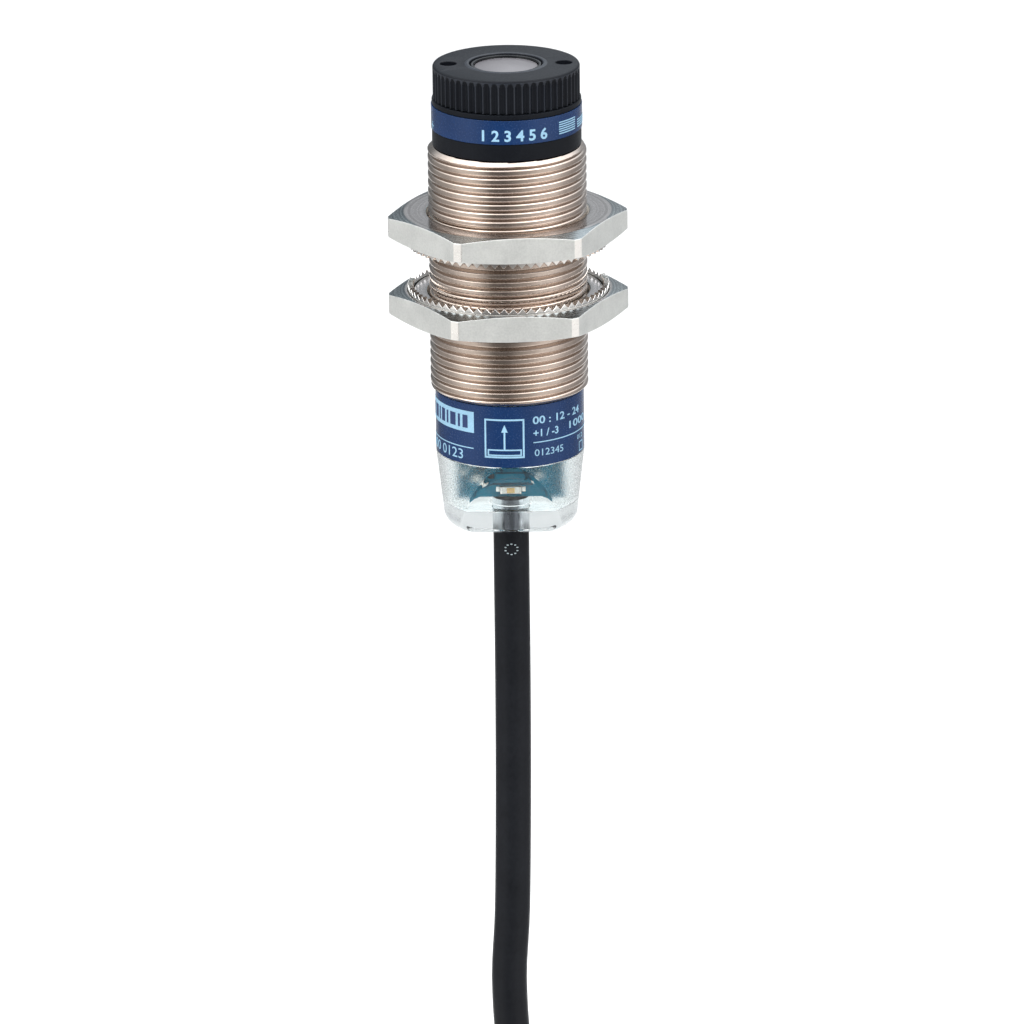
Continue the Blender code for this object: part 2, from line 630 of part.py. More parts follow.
def make_cable():
    """Jacketed cable: the hanging stretch, the tied hank, the tail and its three flying leads."""
    tube("cable", CABLE_ROUTE, CABLE_R, "cable_jacket", 5.0)
    outer_r = HANK_BEND_R + 2 * CABLE_R * (HANK_LAYERS - 1) + CABLE_R + 0.2
    thickness = 2 * CABLE_R * HANK_WIDE + 0.6
    top_centre = HANK_TOP - outer_r
    low_centre = top_centre - HANK_RUN
    outline = []
    for i in range(13):
        angle = math.pi * i / 12
        outline.append((outer_r * math.cos(angle), top_centre + outer_r * math.sin(angle)))
    for i in range(13):
        angle = math.pi + math.pi * i / 12
        outline.append((outer_r * math.cos(angle), low_centre + outer_r * math.sin(angle)))
    bm = bmesh.new()
    skin_between(bm, outline, -thickness / 2, thickness / 2)
    place("cable_hank", bm, "cable_jacket", smooth=30.0)
    strap_z = (top_centre + low_centre) / 2
    gap, strap, half = 0.3, 1.0, 5.0
    rows = []
    for z in (strap_z - half, strap_z + half):
        for grow in (gap, gap + strap):
            x, y = outer_r + grow, thickness / 2 + grow
            rows.append([(-x, -y, z), (x, -y, z), (x, y, z), (-x, y, z)])
    bm = bmesh.new()
    skin(bm, [rows[0], rows[1], rows[3], rows[2]])
    place("cable_tie", bm, "tie_fabric", smooth=0)
    tube("cable_tail", TAIL_ROUTE, CABLE_R, "cable_jacket", 4.0)
    end = Vector(TAIL_ROUTE[-1])
    spread = {"brown": (-1.0, -0.55), "blue": (1.0, -0.55), "violet": (0.0, 1.1)}
    for colour, (dx, dy) in spread.items():
        start = end + Vector((0.85 * dx, 0.85 * dy, -0.3))
        quarter = start + Vector((0.4 * dx, 0.3 * dy, -4.0))
        middle = start + Vector((2.2 * dx, 1.2 * dy, -12.0))
        tip = start + Vector((3.2 * dx, 1.6 * dy, -20.0))
        route = [start, quarter, middle, tip]
        tube(f"lead_{colour}", route, LEAD_R, f"wire_{colour}", 2.5)
        ferrule = [(0.0, tip.z - 6.3), (0.55, tip.z - 6.3), (0.55, tip.z - 0.3), (0.0, tip.z - 0.3)]
        turned(f"ferrule_{colour}", ferrule, "steel_can", 8, False, centre=(tip.x, tip.y))


def make_inner_cores():
    """The cable's three cores, from the end of its jacket up behind the board to their pads."""
    lean = BOARD_FRONT_Y + BOARD_THICKNESS + 0.85
    for colour, x in (("brown", -2.6), ("blue", 0.0), ("violet", 2.6)):
        start = (0.45 * x, 0.75, SHEATH_END + 0.3)
        route = [start, (0.5 * x, lean, SHEATH_END + 2.2), (0.9 * x, lean, -22.0), (x, lean, -18.0)]
        tube(f"core_{colour}", route, 0.5, f"wire_{colour}", 1.5)


def main():
    clear_scene()
    make_barrel()
    make_adjusting_ring()
    make_front_collar()
    make_optics()
    make_diode()
    make_board()
    make_rear()
    make_nut("front_nut", 1, FRONT_NUT_TURN)
    make_tooth_ring("front_lock_ring", 1)
    make_nut("rear_nut", -1, REAR_NUT_TURN)
    make_tooth_ring("rear_lock_ring", -1)
    make_inner_cores()
    make_cable()


main()
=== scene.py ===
"""Looks of the through-beam laser emitter: fine meshes, materials, cable, light and camera.

Sizes are in millimetres and every mesh is written in metres, in the sensor's own frame. The barrel's
axis is Z, the lens is at +Z, and the printed marks face -Y. Places come from the CAD solids' boxes.
"""

from math import atan2, ceil, cos, degrees, dist, exp, floor, hypot, log, pi, radians, sin, sqrt

import bmesh
import bpy
from mathutils import Matrix, Vector


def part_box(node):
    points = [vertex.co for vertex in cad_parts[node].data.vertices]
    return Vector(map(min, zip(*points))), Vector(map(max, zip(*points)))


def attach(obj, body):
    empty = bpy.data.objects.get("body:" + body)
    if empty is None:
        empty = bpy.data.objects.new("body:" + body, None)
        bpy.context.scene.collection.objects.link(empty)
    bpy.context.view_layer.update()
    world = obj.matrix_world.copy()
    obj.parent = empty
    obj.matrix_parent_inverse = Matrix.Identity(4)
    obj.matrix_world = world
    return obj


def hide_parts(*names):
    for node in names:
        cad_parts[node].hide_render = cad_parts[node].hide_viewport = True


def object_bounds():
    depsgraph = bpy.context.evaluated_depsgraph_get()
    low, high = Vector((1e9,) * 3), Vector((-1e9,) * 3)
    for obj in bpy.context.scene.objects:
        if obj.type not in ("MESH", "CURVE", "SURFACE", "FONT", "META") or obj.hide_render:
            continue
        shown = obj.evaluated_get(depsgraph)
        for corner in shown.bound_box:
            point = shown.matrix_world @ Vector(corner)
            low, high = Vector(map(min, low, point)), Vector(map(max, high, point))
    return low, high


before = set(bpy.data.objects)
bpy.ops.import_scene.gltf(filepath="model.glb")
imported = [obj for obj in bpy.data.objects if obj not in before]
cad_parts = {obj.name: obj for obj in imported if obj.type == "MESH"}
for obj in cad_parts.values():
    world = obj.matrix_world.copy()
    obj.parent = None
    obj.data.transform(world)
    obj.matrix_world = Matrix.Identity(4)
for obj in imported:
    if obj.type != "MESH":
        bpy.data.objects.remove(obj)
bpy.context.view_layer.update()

MM = 0.001
TURN = 2 * pi


def low(node, axis=2):
    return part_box(node)[0][axis] / MM


def high(node, axis=2):
    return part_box(node)[1][axis] / MM


# Sizes read from the CAD solids
BARREL_LOW, BARREL_HIGH = low("threaded_barrel"), high("threaded_barrel")
CREST_R = high("threaded_barrel", 0)
RIM = 0.08
NOSE_TOP = high("adjusting_ring") - RIM
RING_LOW = low("adjusting_ring")
BAND_LOW, BAND_HIGH, BAND_R = low("front_band"), high("front_band"), high("front_band", 0)
LABEL_LOW, LABEL_HIGH, LABEL_R = low("rear_label"), high("rear_label"), high("rear_label", 0)
CAP_LOW = low("rear_cap")
NUT_FACE, NUT_OUTER = low("front_nut"), high("front_nut")

# Sizes of the real thing's finer shape
PITCH = 1.0
ROOT_R = 8.40
THREAD_LOW_R = 8.60         # seen bottom of the thread
BORE_R = 7.5
RING_R = 8.3
COLLAR_R = 8.43
WINDOW_R = 4.15
HEX_R = 12.0                # middle of a hexagon flat to the axis
CORNER_R = 13.58            # small flat across each corner
CABLE_R = 2.05
GAP = 0.1


# ---- meshes


def polar(radius, angle, z):
    return (radius * cos(angle), radius * sin(angle), z)


def circle(radius, z, count, centre_x=0.0, centre_y=0.0):
    if radius == 0:
        return [(centre_x, centre_y, z)]
    points = [polar(radius, TURN * i / count, z) for i in range(count)]
    return [(centre_x + x, centre_y + y, z) for x, y, z in points]


def link(name, data):
    """A new object in the scene."""
    made = bpy.data.objects.new(name, data)
    bpy.context.scene.collection.objects.link(made)
    return made


def as_mesh(name, bm):
    mesh = bpy.data.meshes.new(name)
    bm.to_mesh(mesh)
    bm.free()
    return mesh


def as_verts(bm, loop):
    return [p if isinstance(p, bmesh.types.BMVert) else bm.verts.new(p) for p in loop]


def face(bm, corners, slot=0):
    """A face through the corners that differ, where at least three do."""
    unlike = [v for i, v in enumerate(corners) if v is not corners[i - 1]]
    if len(unlike) > 2:
        made = bm.faces.new(unlike)
        made.material_index = slot
        return made
    return None


def skin(bm, loops, ring=False, slots=None):
    """Faces between loops of the same count, or of one point. slots gives a column's material index."""
    rows = [as_verts(bm, loop) for loop in loops]
    pairs = list(zip(rows, rows[1:])) + ([(rows[-1], rows[0])] if ring else [])
    for a, b in pairs:
        count = max(len(a), len(b))
        for i in range(count):
            j = (i + 1) % count
            corners = [a[i % len(a)], a[j % len(a)], b[j % len(b)], b[i % len(b)]]
            face(bm, corners, slots[i] if slots else 0)
    return rows


def fill(bm, *loops):
    """A flat face with holes: the first loop is its outline."""
    edges = []
    for loop in loops:
        for a, b in zip(loop, loop[1:] + loop[:1]):
            edges.append(bm.edges.get((a, b)) or bm.edges.new((a, b)))
    bmesh.ops.triangle_fill(bm, edges=edges, use_beauty=True)


def piece(name, bm, looks, body="housing", nodes=(), smooth=32.0, even=True):
    """An object from a bmesh in millimetres. It rides on a CAD body, stands for CAD nodes and wears LOOKS."""
    bmesh.ops.recalc_face_normals(bm, faces=bm.faces)
    bmesh.ops.scale(bm, verts=bm.verts, vec=(MM, MM, MM))
    mesh = as_mesh(name, bm)
    made = link(name, mesh)
    for look in looks.split():
        mesh.materials.append(LOOKS[look])
    if smooth:
        mesh.shade_smooth()
        mesh.set_sharp_from_angle(angle=radians(smooth))
        if even:
            weighted = made.modifiers.new("even_shading", "WEIGHTED_NORMAL")
            weighted.keep_sharp = True
    if body:
        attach(made, body)
    if nodes:
        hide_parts(*nodes)
    return made


def rounded(profile, radius, ring=True, steps=3):
    """The profile with each corner replaced by a small arc."""
    points = []
    count = len(profile)
    for i, p in enumerate(profile):
        here = Vector(p)
        if not ring and i in (0, count - 1):
            points.append(tuple(here))
            continue
        before, after = Vector(profile[i - 1]), Vector(profile[(i + 1) % count])
        cut = min(radius, 0.45 * (here - before).length, 0.45 * (after - here).length)
        a = here + (before - here).normalized() * cut
        b = here + (after - here).normalized() * cut
        for k in range(steps + 1):
            t = k / steps
            points.append(tuple(a * (1 - t) ** 2 + here * (2 * t * (1 - t)) + b * t ** 2))
    return points


def prism(bm, points, start, end, place):
    """A closed slab: an outline of (x, y) points at two depths, each put in space by place(x, y, depth)."""
    rows = [[bm.verts.new(place(x, y, depth)) for x, y in points] for depth in (start, end)]
    bm.faces.new(rows[0])
    bm.faces.new(rows[1])
    for i in range(len(points)):
        j = (i + 1) % len(points)
        bm.faces.new((rows[0][i], rows[0][j], rows[1][j], rows[1][i]))


def turned_mesh(profile, count=96, ring=True, edge=0.06, centre=(0.0, 0.0)):
    bm = bmesh.new()
    outline = rounded(profile, edge, ring) if edge else profile
    skin(bm, [circle(r, z, count, *centre) for r, z in outline], ring)
    return bm


def carve(bm, tools, operation="DIFFERENCE"):
    """Cut the tools from a mesh, or join them to it."""
    def holder(source):
        bmesh.ops.recalc_face_normals(source, faces=source.faces)
        return link("carving", as_mesh("carving", source))

    target = holder(bm)
    cutters = [holder(tool) for tool in tools]
    for cutter in cutters:
        step = target.modifiers.new("carve", "BOOLEAN")
        step.operation, step.solver, step.object = operation, "EXACT", cutter
    bpy.context.view_layer.update()
    result = bmesh.new()
    result.from_object(target, bpy.context.evaluated_depsgraph_get())
    for used in [target, *cutters]:
        bpy.data.objects.remove(used)
    return result


def box_mesh(low_corner, high_corner, edge=0.0):
    size = [b - a for a, b in zip(low_corner, high_corner)]
    middle = [(a + b) / 2 for a, b in zip(low_corner, high_corner)]
    bm = bmesh.new()
    bmesh.ops.create_cube(bm, size=1.0, matrix=Matrix.Translation(middle) @ Matrix.Diagonal((*size, 1.0)))
    if edge:
        bmesh.ops.bevel(bm, geom=bm.edges[:], offset=edge, segments=3, profile=0.5, affect="EDGES")
    return bm


def merge(bm, other):
    """Add another mesh's faces to bm."""
    mesh = as_mesh("part", other)
    bm.from_mesh(mesh)
    bpy.data.meshes.remove(mesh)
    return bm


def helix_rows(bm, angles, bottom, top, radius_at, per_pitch=16):
    """The surface of a right-hand screw between two heights. Returns its lowest and highest loops."""
    count = len(angles)
    first = floor(bottom / PITCH) - 1
    rows = (ceil(top / PITCH) + 2 - first) * per_pitch
    eps = 0.02
    lowest, highest, grid = [], [], []
    for angle in angles:
        ends = [bm.verts.new(polar(radius_at(z, angle), angle, z)) for z in (bottom, top)]
        lowest.append(ends[0])
        highest.append(ends[1])
        column = []
        for i in range(rows):
            z = (first + i / per_pitch + angle / TURN) * PITCH
            if z < bottom + eps:
                column.append(ends[0])
            elif z > top - eps:
                column.append(ends[1])
            else:
                column.append(bm.verts.new(polar(radius_at(z, angle), angle, z)))
        grid.append(column)
    for j in range(count):
        left, right = grid[j], grid[(j + 1) % count]
        shift = per_pitch if j == count - 1 else 0
        for i in range(rows - 1 - shift):
            face(bm, (left[i], right[i + shift], right[i + shift + 1], left[i + 1]))
    return lowest, highest


def thread_radius(z, angle, clearance=0.0):
    """A crest crosses +X at z = 0. Crests are broad and rounded, roots narrow and slightly rounded."""
    phase = z / PITCH - angle / TURN
    away = abs(phase - round(phase))
    root_start, power = 0.42, 4.0
    fall = min(away, root_start)
    height = 1 - (2 * fall) ** power
    slope = 2 * power * (2 * root_start) ** (power - 1)
    past = max(away - root_start, 0.0)
    length = 0.5 - root_start
    height -= slope * past * (1 - past / (2 * length))
    least = 1 - (2 * root_start) ** power - slope * length / 2
    share = (height - least) / (1 - least)
    return THREAD_LOW_R + clearance + (CREST_R - THREAD_LOW_R) * share


# ---- materials


class Look:
    """A material made of nodes round one Principled shader, in object coordinates."""

    def __init__(self, name, **sockets):
        self.material = bpy.data.materials.new(name)
        self.material.use_nodes = True
        self.tree = self.material.node_tree
        self.shader = self.tree.nodes["Principled BSDF"]
        self.set(**sockets)
        place = self.tree.nodes.new("ShaderNodeTexCoord")
        self.place = place.outputs["Object"]

    def set(self, **sockets):
        """Set or link the shader's sockets; Base_Color stands for Base Color."""
        for key, value in sockets.items():
            self.join(self.shader.inputs[key.replace("_", " ")], value)
        return self

    def join(self, socket, value):
        if isinstance(value, bpy.types.NodeSocket):
            self.tree.links.new(value, socket)
        elif isinstance(value, (tuple, list)) and len(value) == 3 and socket.type == "RGBA":
            socket.default_value = (*value, 1.0)
        else:
            socket.default_value = value

    def node(self, kind, inputs, output=0, **settings):
        made = self.tree.nodes.new(f"ShaderNode{kind}")
        for key, value in settings.items():
            setattr(made, key, value)
        for key, value in inputs.items():
            self.join(made.inputs[key], value)
        return made.outputs[output]

    def stretched(self, scale):
        return self.node("Mapping", {"Vector": self.place, "Scale": scale})

    def noise(self, per_mm, detail=2.0, vector=None, roughness=0.55):
        inputs = {
            "Vector": vector or self.place, "Scale": per_mm / MM, "Detail": detail, "Roughness": roughness,
        }
        return self.node("TexNoise", inputs)

    def ramp(self, value, *stops):
        made = self.tree.nodes.new("ShaderNodeValToRGB")
        line = made.color_ramp
        while len(line.elements) < len(stops):
            line.elements.new(0.5)
        for element, (at, colour) in zip(line.elements, stops):
            element.position = at
            element.color = (*colour, 1.0) if isinstance(colour, tuple) else (colour, colour, colour, 1.0)
        self.join(made.inputs["Fac"], value)
        return made.outputs["Color"]

    def span(self, value, a, b, to_a, to_b):
        inputs = {"Value": value, "From Min": a, "From Max": b, "To Min": to_a, "To Max": to_b}
        return self.node("MapRange", inputs)

    def sum(self, a, b, operation="ADD"):
        return self.node("Math", {0: a, 1: b}, operation=operation)

    def across(self):
        """Distance from the barrel's axis, in metres."""
        flat = self.node("VectorMath", {0: self.place, 1: (1.0, 1.0, 0.0)}, operation="MULTIPLY")
        made = self.tree.nodes.new("ShaderNodeVectorMath")
        made.operation = "LENGTH"
        self.tree.links.new(flat, made.inputs[0])
        return made.outputs["Value"]

    def bump(self, height, depth_mm, strength=1.0):
        inputs = {"Height": height, "Distance": depth_mm * MM, "Strength": strength}
        self.set(Normal=self.node("Bump", inputs))
        return self


def nickel_look(name, light, dark, roughness, grain_mm, turning=False, metallic=1.0):
    """Nickel plate over brass: a satin metal with fine marks round the axis and small dull spots."""
    look = Look(name, Metallic=metallic)
    speck = look.noise(4.5, 3.0)
    if turning:
        inputs = {"W": look.across(), "Scale": 3.0 / MM, "Detail": 3.0}
        rings = look.node("TexNoise", inputs, noise_dimensions="1D")
        cloud = rings
    else:
        rings = look.noise(1.0, 3.0, look.stretched((0.25, 0.25, 7.0)))
        cloud = look.noise(0.35, 4.0)
    mixed = look.sum(look.span(cloud, 0.3, 0.7, 0.0, 0.6), look.span(speck, 0.35, 0.65, 0.0, 0.4))
    look.set(Base_Color=look.ramp(mixed, (0.1, dark), (0.8, light)))
    marks = look.sum(rings, look.span(speck, 0.0, 1.0, 0.0, 0.5))
    look.set(Roughness=look.span(marks, 0.45, 1.05, roughness - 0.06, roughness + 0.08))
    return look.bump(marks, grain_mm, 0.5).material


def plastic_look(name, colour, roughness, grain_per_mm, depth_mm, shine=0.5, coat=0.0):
    """Moulded plastic with a fine spark-eroded grain."""
    look = Look(name, Coat_Weight=coat, Coat_Roughness=0.2, Specular_IOR_Level=shine)
    grain = look.noise(grain_per_mm, 3.0)
    cloud = look.noise(0.25, 3.0)
    darker = tuple(c * 0.82 for c in colour)
    lighter = tuple(min(1.0, c * 1.15 + 0.001) for c in colour)
    mixed = look.sum(look.span(cloud, 0.3, 0.7, 0.0, 0.6), look.span(grain, 0.3, 0.7, 0.0, 0.4))
    look.set(Base_Color=look.ramp(mixed, (0.1, darker), (0.9, lighter)))
    look.set(Roughness=look.span(grain, 0.3, 0.7, roughness - 0.07, roughness + 0.07))
    return look.bump(grain, depth_mm, 0.6).material


def clear_look(name, roughness, grain_depth):
    """Clear polycarbonate: polished on the facets, with a coarse grain elsewhere."""
    look = Look(name, Transmission_Weight=1.0, IOR=1.42, Specular_IOR_Level=0.35)
    cloud = look.noise(0.6, 2.0)
    look.set(Base_Color=look.ramp(cloud, (0.2, (0.89, 0.94, 0.94)), (0.8, (0.94, 0.975, 0.975))))
    grain = look.noise(7.0, 2.0)
    look.set(Roughness=look.span(grain, 0.3, 0.7, roughness * 0.6, roughness * 1.4))
    if grain_depth:
        look.bump(grain, grain_depth, 1.0)
    return look.material


def lens_look():
    """Coated glass with a faint haze, grey-brown against the dark tube behind it."""
    look = Look("lens_coated", Transmission_Weight=0.15, IOR=1.5, Coat_Weight=0.2, Coat_Roughness=0.15)
    haze = look.noise(0.16, 2.0)
    look.set(Base_Color=look.ramp(haze, (0.3, (0.125, 0.118, 0.130)), (0.7, (0.175, 0.166, 0.178))))
    dust = look.noise(1.2, 4.0)
    return look.set(Roughness=look.span(dust, 0.4, 0.8, 0.30, 0.42)).material


def sleeve_painted_sheen_look():
    """Drawn tin-plated sleeve with a painted sheen: its colour is painted bright at the sides and dark along
    the front and back, from the object-space normal.
    """
    look = Look("sleeve_drawn_painted_sheen", Metallic=1.0)
    coords = look.tree.nodes.new("ShaderNodeTexCoord")
    split = look.tree.nodes.new("ShaderNodeSeparateXYZ")
    look.tree.links.new(coords.outputs["Normal"], split.inputs[0])
    # painted sheen: the normal's sideways part picks a light colour at the sides and a dark one at the front
    # and back
    side = look.node("Math", {0: split.outputs[0]}, operation="ABSOLUTE")
    drawn = look.noise(1.5, 2.0, look.stretched((6.0, 6.0, 0.5)))
    mixed = look.sum(side, look.span(drawn, 0.3, 0.7, -0.05, 0.05))
    look.set(Base_Color=look.ramp(mixed, (0.10, (0.075, 0.080, 0.090)), (0.38, (0.16, 0.17, 0.19)),
                                  (0.55, (0.62, 0.65, 0.68)), (0.85, (0.80, 0.83, 0.85))))
    return look.set(Roughness=look.span(drawn, 0.3, 0.7, 0.25, 0.4)).material


def board_look():
    """Teal solder mask over darker tracks and a faint weave of glass cloth."""
    look = Look("board_mask", IOR=1.5, Specular_IOR_Level=0.2)
    weave = look.node("TexWave", {"Vector": look.place, "Scale": 2.0 / MM, "Distortion": 0.4}, output=1)
    cloud = look.noise(0.7, 3.0)
    mixed = look.sum(look.span(cloud, 0.3, 0.7, 0.0, 0.8), look.span(weave, 0.0, 1.0, 0.0, 0.2))
    look.set(Base_Color=look.ramp(mixed, (0.1, (0.001, 0.130, 0.215)), (0.9, (0.002, 0.190, 0.290))))
    look.set(Roughness=look.span(weave, 0.0, 1.0, 0.3, 0.42))
    return look.bump(weave, 0.01, 0.4).material


def strap_look():
    look = Look("strap_weave", Roughness=0.85, Sheen_Weight=0.4, Sheen_Roughness=0.5)
    loops = look.node("TexVoronoi", {"Vector": look.place, "Scale": 3.2 / MM})
    tuft = look.noise(5.0, 3.0)
    look.set(Base_Color=look.ramp(look.sum(loops, look.span(tuft, 0.3, 0.7, 0.0, 0.3)),
                                  (0.1, (0.022, 0.023, 0.026)), (0.9, (0.062, 0.064, 0.070))))
    return look.bump(loops, 0.12, 0.8).material


# Nickel and other metals: name, light, dark, roughness, grain in mm, turned, metallic
METALS = {
    "barrel": ("barrel_nickel", (0.64, 0.545, 0.480), (0.54, 0.450, 0.390), 0.15, 0.002),
    "nut": ("nut_nickel_satin", (0.73, 0.74, 0.715), (0.61, 0.62, 0.60), 0.38, 0.006, False, 0.6),
    # The next three rows are lit and shaded copies of the nut's nickel: painted shade on the turned faces,
    # darker painted shade on the chamfers and a painted highlight on the small corner flats.
    "nut_face": ("nut_nickel_turned_painted_shade", (0.56, 0.53, 0.52), (0.42, 0.395, 0.385), 0.15, 0.010, True),
    "nut_edge": ("nut_nickel_chamfer_painted_shade", (0.30, 0.33, 0.34), (0.20, 0.225, 0.235), 0.24, 0.004, True),
    "nut_corner": ("nut_nickel_corner_painted_highlight", (0.94, 0.92, 0.89), (0.84, 0.82, 0.79), 0.30, 0.003, False, 0.8),
    "teeth": ("teeth_nickel", (0.92, 0.91, 0.89), (0.84, 0.83, 0.81), 0.14, 0.001),
    "brass": ("brass_turned", (0.70, 0.52, 0.24), (0.50, 0.34, 0.13), 0.32, 0.004, True),
    "steel": ("steel_drawn", (0.66, 0.65, 0.62), (0.48, 0.47, 0.45), 0.25, 0.003),
    "tin": ("tinned_copper", (0.80, 0.78, 0.74), (0.60, 0.57, 0.52), 0.3, 0.004),
}

# Plastics: name, colour, roughness, grain per mm, its depth in mm, shine, clear coat
PLASTICS = {
    "black": ("black_moulded", (0.0054, 0.0066, 0.0094), 0.42, 7.0, 0.03, 0.12),
    # lighter copy of the black plastic: painted highlight on the flute crests and the lip round the window
    "black_crest": ("black_painted_edge_highlight", (0.016, 0.019, 0.026), 0.38, 7.0, 0.01, 0.3),
    "black_smooth": ("black_glossy", (0.006, 0.007, 0.009), 0.24, 3.0, 0.004, 0.3),
    "blue": ("blue_lacquer", (0.0032, 0.0240, 0.090), 0.24, 5.0, 0.0006, 0.38),
    "print": ("light_blue_ink", (0.250, 0.430, 0.570), 0.5, 8.0, 0.002, 0.2),
    "rubber": ("seal_rubber", (0.018, 0.018, 0.019), 0.65, 4.0, 0.01),
    "jacket": ("cable_jacket_pur", (0.0078, 0.0088, 0.0115), 0.42, 2.2, 0.012, 0.13),
    "jacket_mark": ("jacket_ink", (0.30, 0.36, 0.38), 0.5, 8.0, 0.002),
    "filler": ("cable_filler", (0.60, 0.58, 0.52), 0.8, 4.0, 0.03),
    "brown": ("wire_brown_pvc", (0.145, 0.055, 0.022), 0.42, 4.0, 0.006),
    "wire_blue": ("wire_blue_pvc", (0.012, 0.075, 0.36), 0.42, 4.0, 0.006),
    "violet": ("wire_violet_pvc", (0.15, 0.045, 0.27), 0.42, 4.0, 0.006),
    "chip": ("chip_epoxy", (0.020, 0.020, 0.023), 0.55, 12.0, 0.01),
    "amber": ("capacitor_resin", (0.52, 0.27, 0.045), 0.4, 6.0, 0.005, 0.5, 0.3),
    "ceramic": ("lamp_ceramic", (0.86, 0.84, 0.78), 0.35, 6.0, 0.003, 0.5, 0.4),
    "phosphor": ("lamp_window", (0.80, 0.52, 0.20), 0.3, 6.0, 0.003, 0.5, 0.5),
    "dark_blue": ("dark_blue_ink", (0.012, 0.030, 0.110), 0.45, 8.0, 0.002),
    "board_dark": ("board_track", (0.004, 0.070, 0.115), 0.35, 5.0, 0.003, 0.25),
}

LOOKS = {
    "sleeve": sleeve_painted_sheen_look(),
    "clear": clear_look("cap_polished", 0.02, 0.0),
    "grained": clear_look("cap_grained", 0.24, 0.026),
    "lens": lens_look(),
    "board": board_look(),
    "strap": strap_look(),
}
LOOKS.update((key, nickel_look(*row)) for key, row in METALS.items())
LOOKS.update((key, plastic_look(*row)) for key, row in PLASTICS.items())


# ---- camera, light and cable


def make_camera():
    """The photograph's view: from the front and above, with a long lens."""
    elevation, distance = radians(17.72), 0.998
    roll = radians(0.647)
    aim = Vector((0.000107, 0.0, -0.029786))
    back = Vector((0.0, -cos(elevation), sin(elevation)))
    right, up = Vector((1.0, 0.0, 0.0)), Vector((0.0, sin(elevation), cos(elevation)))
    leaned_right = right * cos(roll) - up * sin(roll)
    leaned_up = right * sin(roll) + up * cos(roll)
    data = bpy.data.cameras.new("camera")
    data.sensor_width = 36.0
    data.lens = 307.2
    camera = link("camera", data)
    turn = Matrix((leaned_right, leaned_up, back)).transposed()
    camera.matrix_world = Matrix.Translation(aim + back * distance) @ turn.to_4x4()
    data.clip_start, data.clip_end = 0.05, 20.0
    bpy.context.scene.camera = camera


# Route of the cable from inside the cap to the hank, as in the CAD
CABLE_ROUTE = [
    (0.0, 0.0, -27.75),
    (0.0, 0.0, -36.0),
    (0.0, 0.0, -50.0),
    (-0.1, 0.1, -64.0),
    (-0.35, 0.4, -78.0),
    (-0.8, 1.2, -87.5),
    (-0.1, 3.2, -97.5),
    (2.4, 5.9, -105.6),
]
JOINING = [(5.0, 7.9, -111.6), (8.4, 8.55, -117.2), (11.3, 8.45, -122.6)]
BEND_R = 12.4
HANK_RUN = 66.0
TOP_CENTRE = high("cable_hank") - BEND_R - 3 * CABLE_R - 0.2
LOW_CENTRE = TOP_CENTRE - HANK_RUN


def smooth_line(points, spacing):
    """Points at an even spacing along a Catmull-Rom curve through the route's points."""
    knots = [Vector(p) for p in points]
    knots = [2 * knots[0] - knots[1]] + knots + [2 * knots[-1] - knots[-2]]
    dense = []
    for a, b, c, d in zip(knots, knots[1:], knots[2:], knots[3:]):
        for i in range(20):
            t = i / 20
            dense.append(0.5 * (2 * b + (c - a) * t + (2 * a - 5 * b + 4 * c - d) * t * t
                                + (3 * b - a - 3 * c + d) * t ** 3))
    dense.append(knots[-2])
    lengths = [0.0]
    for a, b in zip(dense, dense[1:]):
        lengths.append(lengths[-1] + (b - a).length)
    count = max(2, round(lengths[-1] / spacing))
    line, at = [], 0
    for i in range(count + 1):
        wanted = lengths[-1] * i / count
        while at < len(dense) - 2 and lengths[at + 1] < wanted:
            at += 1
        share = (wanted - lengths[at]) / (lengths[at + 1] - lengths[at])
        line.append(dense[at].lerp(dense[at + 1], share))
    return line


def hank_turns():
    """Turns of the folded cable: an inner layer that winds towards -Y and an outer one that winds back."""
    step = 2 * CABLE_R
    points = []

    def run(x, y, start, end):
        count = 12
        points.extend(Vector((x, y, start + (end - start) * i / count)) for i in range(count))

    def bend(centre_z, first_r, last_r, first_y, last_y, top):
        """Half a turn, clockwise seen from -Y: over the top to the right, or under to the left."""
        count = 20
        for i in range(count):
            t = i / count
            eased = t * t * (3 - 2 * t)
            r = first_r + (last_r - first_r) * eased
            y = first_y + (last_y - first_y) * eased
            angle = pi - pi * t if top else -pi * t
            points.append(Vector((r * cos(angle), y, centre_z + r * sin(angle))))

    layer_y = [2 * step - k * step for k in range(5)]
    outer = BEND_R + step
    turns = [(BEND_R, BEND_R, layer_y[k], layer_y[k + 1]) for k in range(4)]
    turns += [(BEND_R, outer, layer_y[4], layer_y[4])]
    turns += [(outer, outer, layer_y[k + 1], layer_y[k]) for k in (3, 2, 1)]
    for first_r, last_r, first_y, last_y in turns:
        run(first_r, first_y, TOP_CENTRE, LOW_CENTRE)
        bend(LOW_CENTRE, first_r, last_r, first_y, last_y, False)
        run(-last_r, last_y, LOW_CENTRE, TOP_CENTRE)
        bend(TOP_CENTRE, last_r, last_r, last_y, last_y, True)
    run(outer, layer_y[1], TOP_CENTRE, LOW_CENTRE)
    return points


TAIL_X = BEND_R + 2 * CABLE_R
TAIL_Y = 2 * CABLE_R
TAIL_TOP = low("cable_hank") + 5.6
TAIL_ROUTE = [
    (TAIL_X, TAIL_Y, LOW_CENTRE),
    (TAIL_X, TAIL_Y, TAIL_TOP + 3.0),
    (TAIL_X, TAIL_Y, TAIL_TOP),
    (TAIL_X - 0.2, TAIL_Y, TAIL_TOP - 4.5),
    (TAIL_X - 0.7, TAIL_Y, TAIL_TOP - 9.5),
]


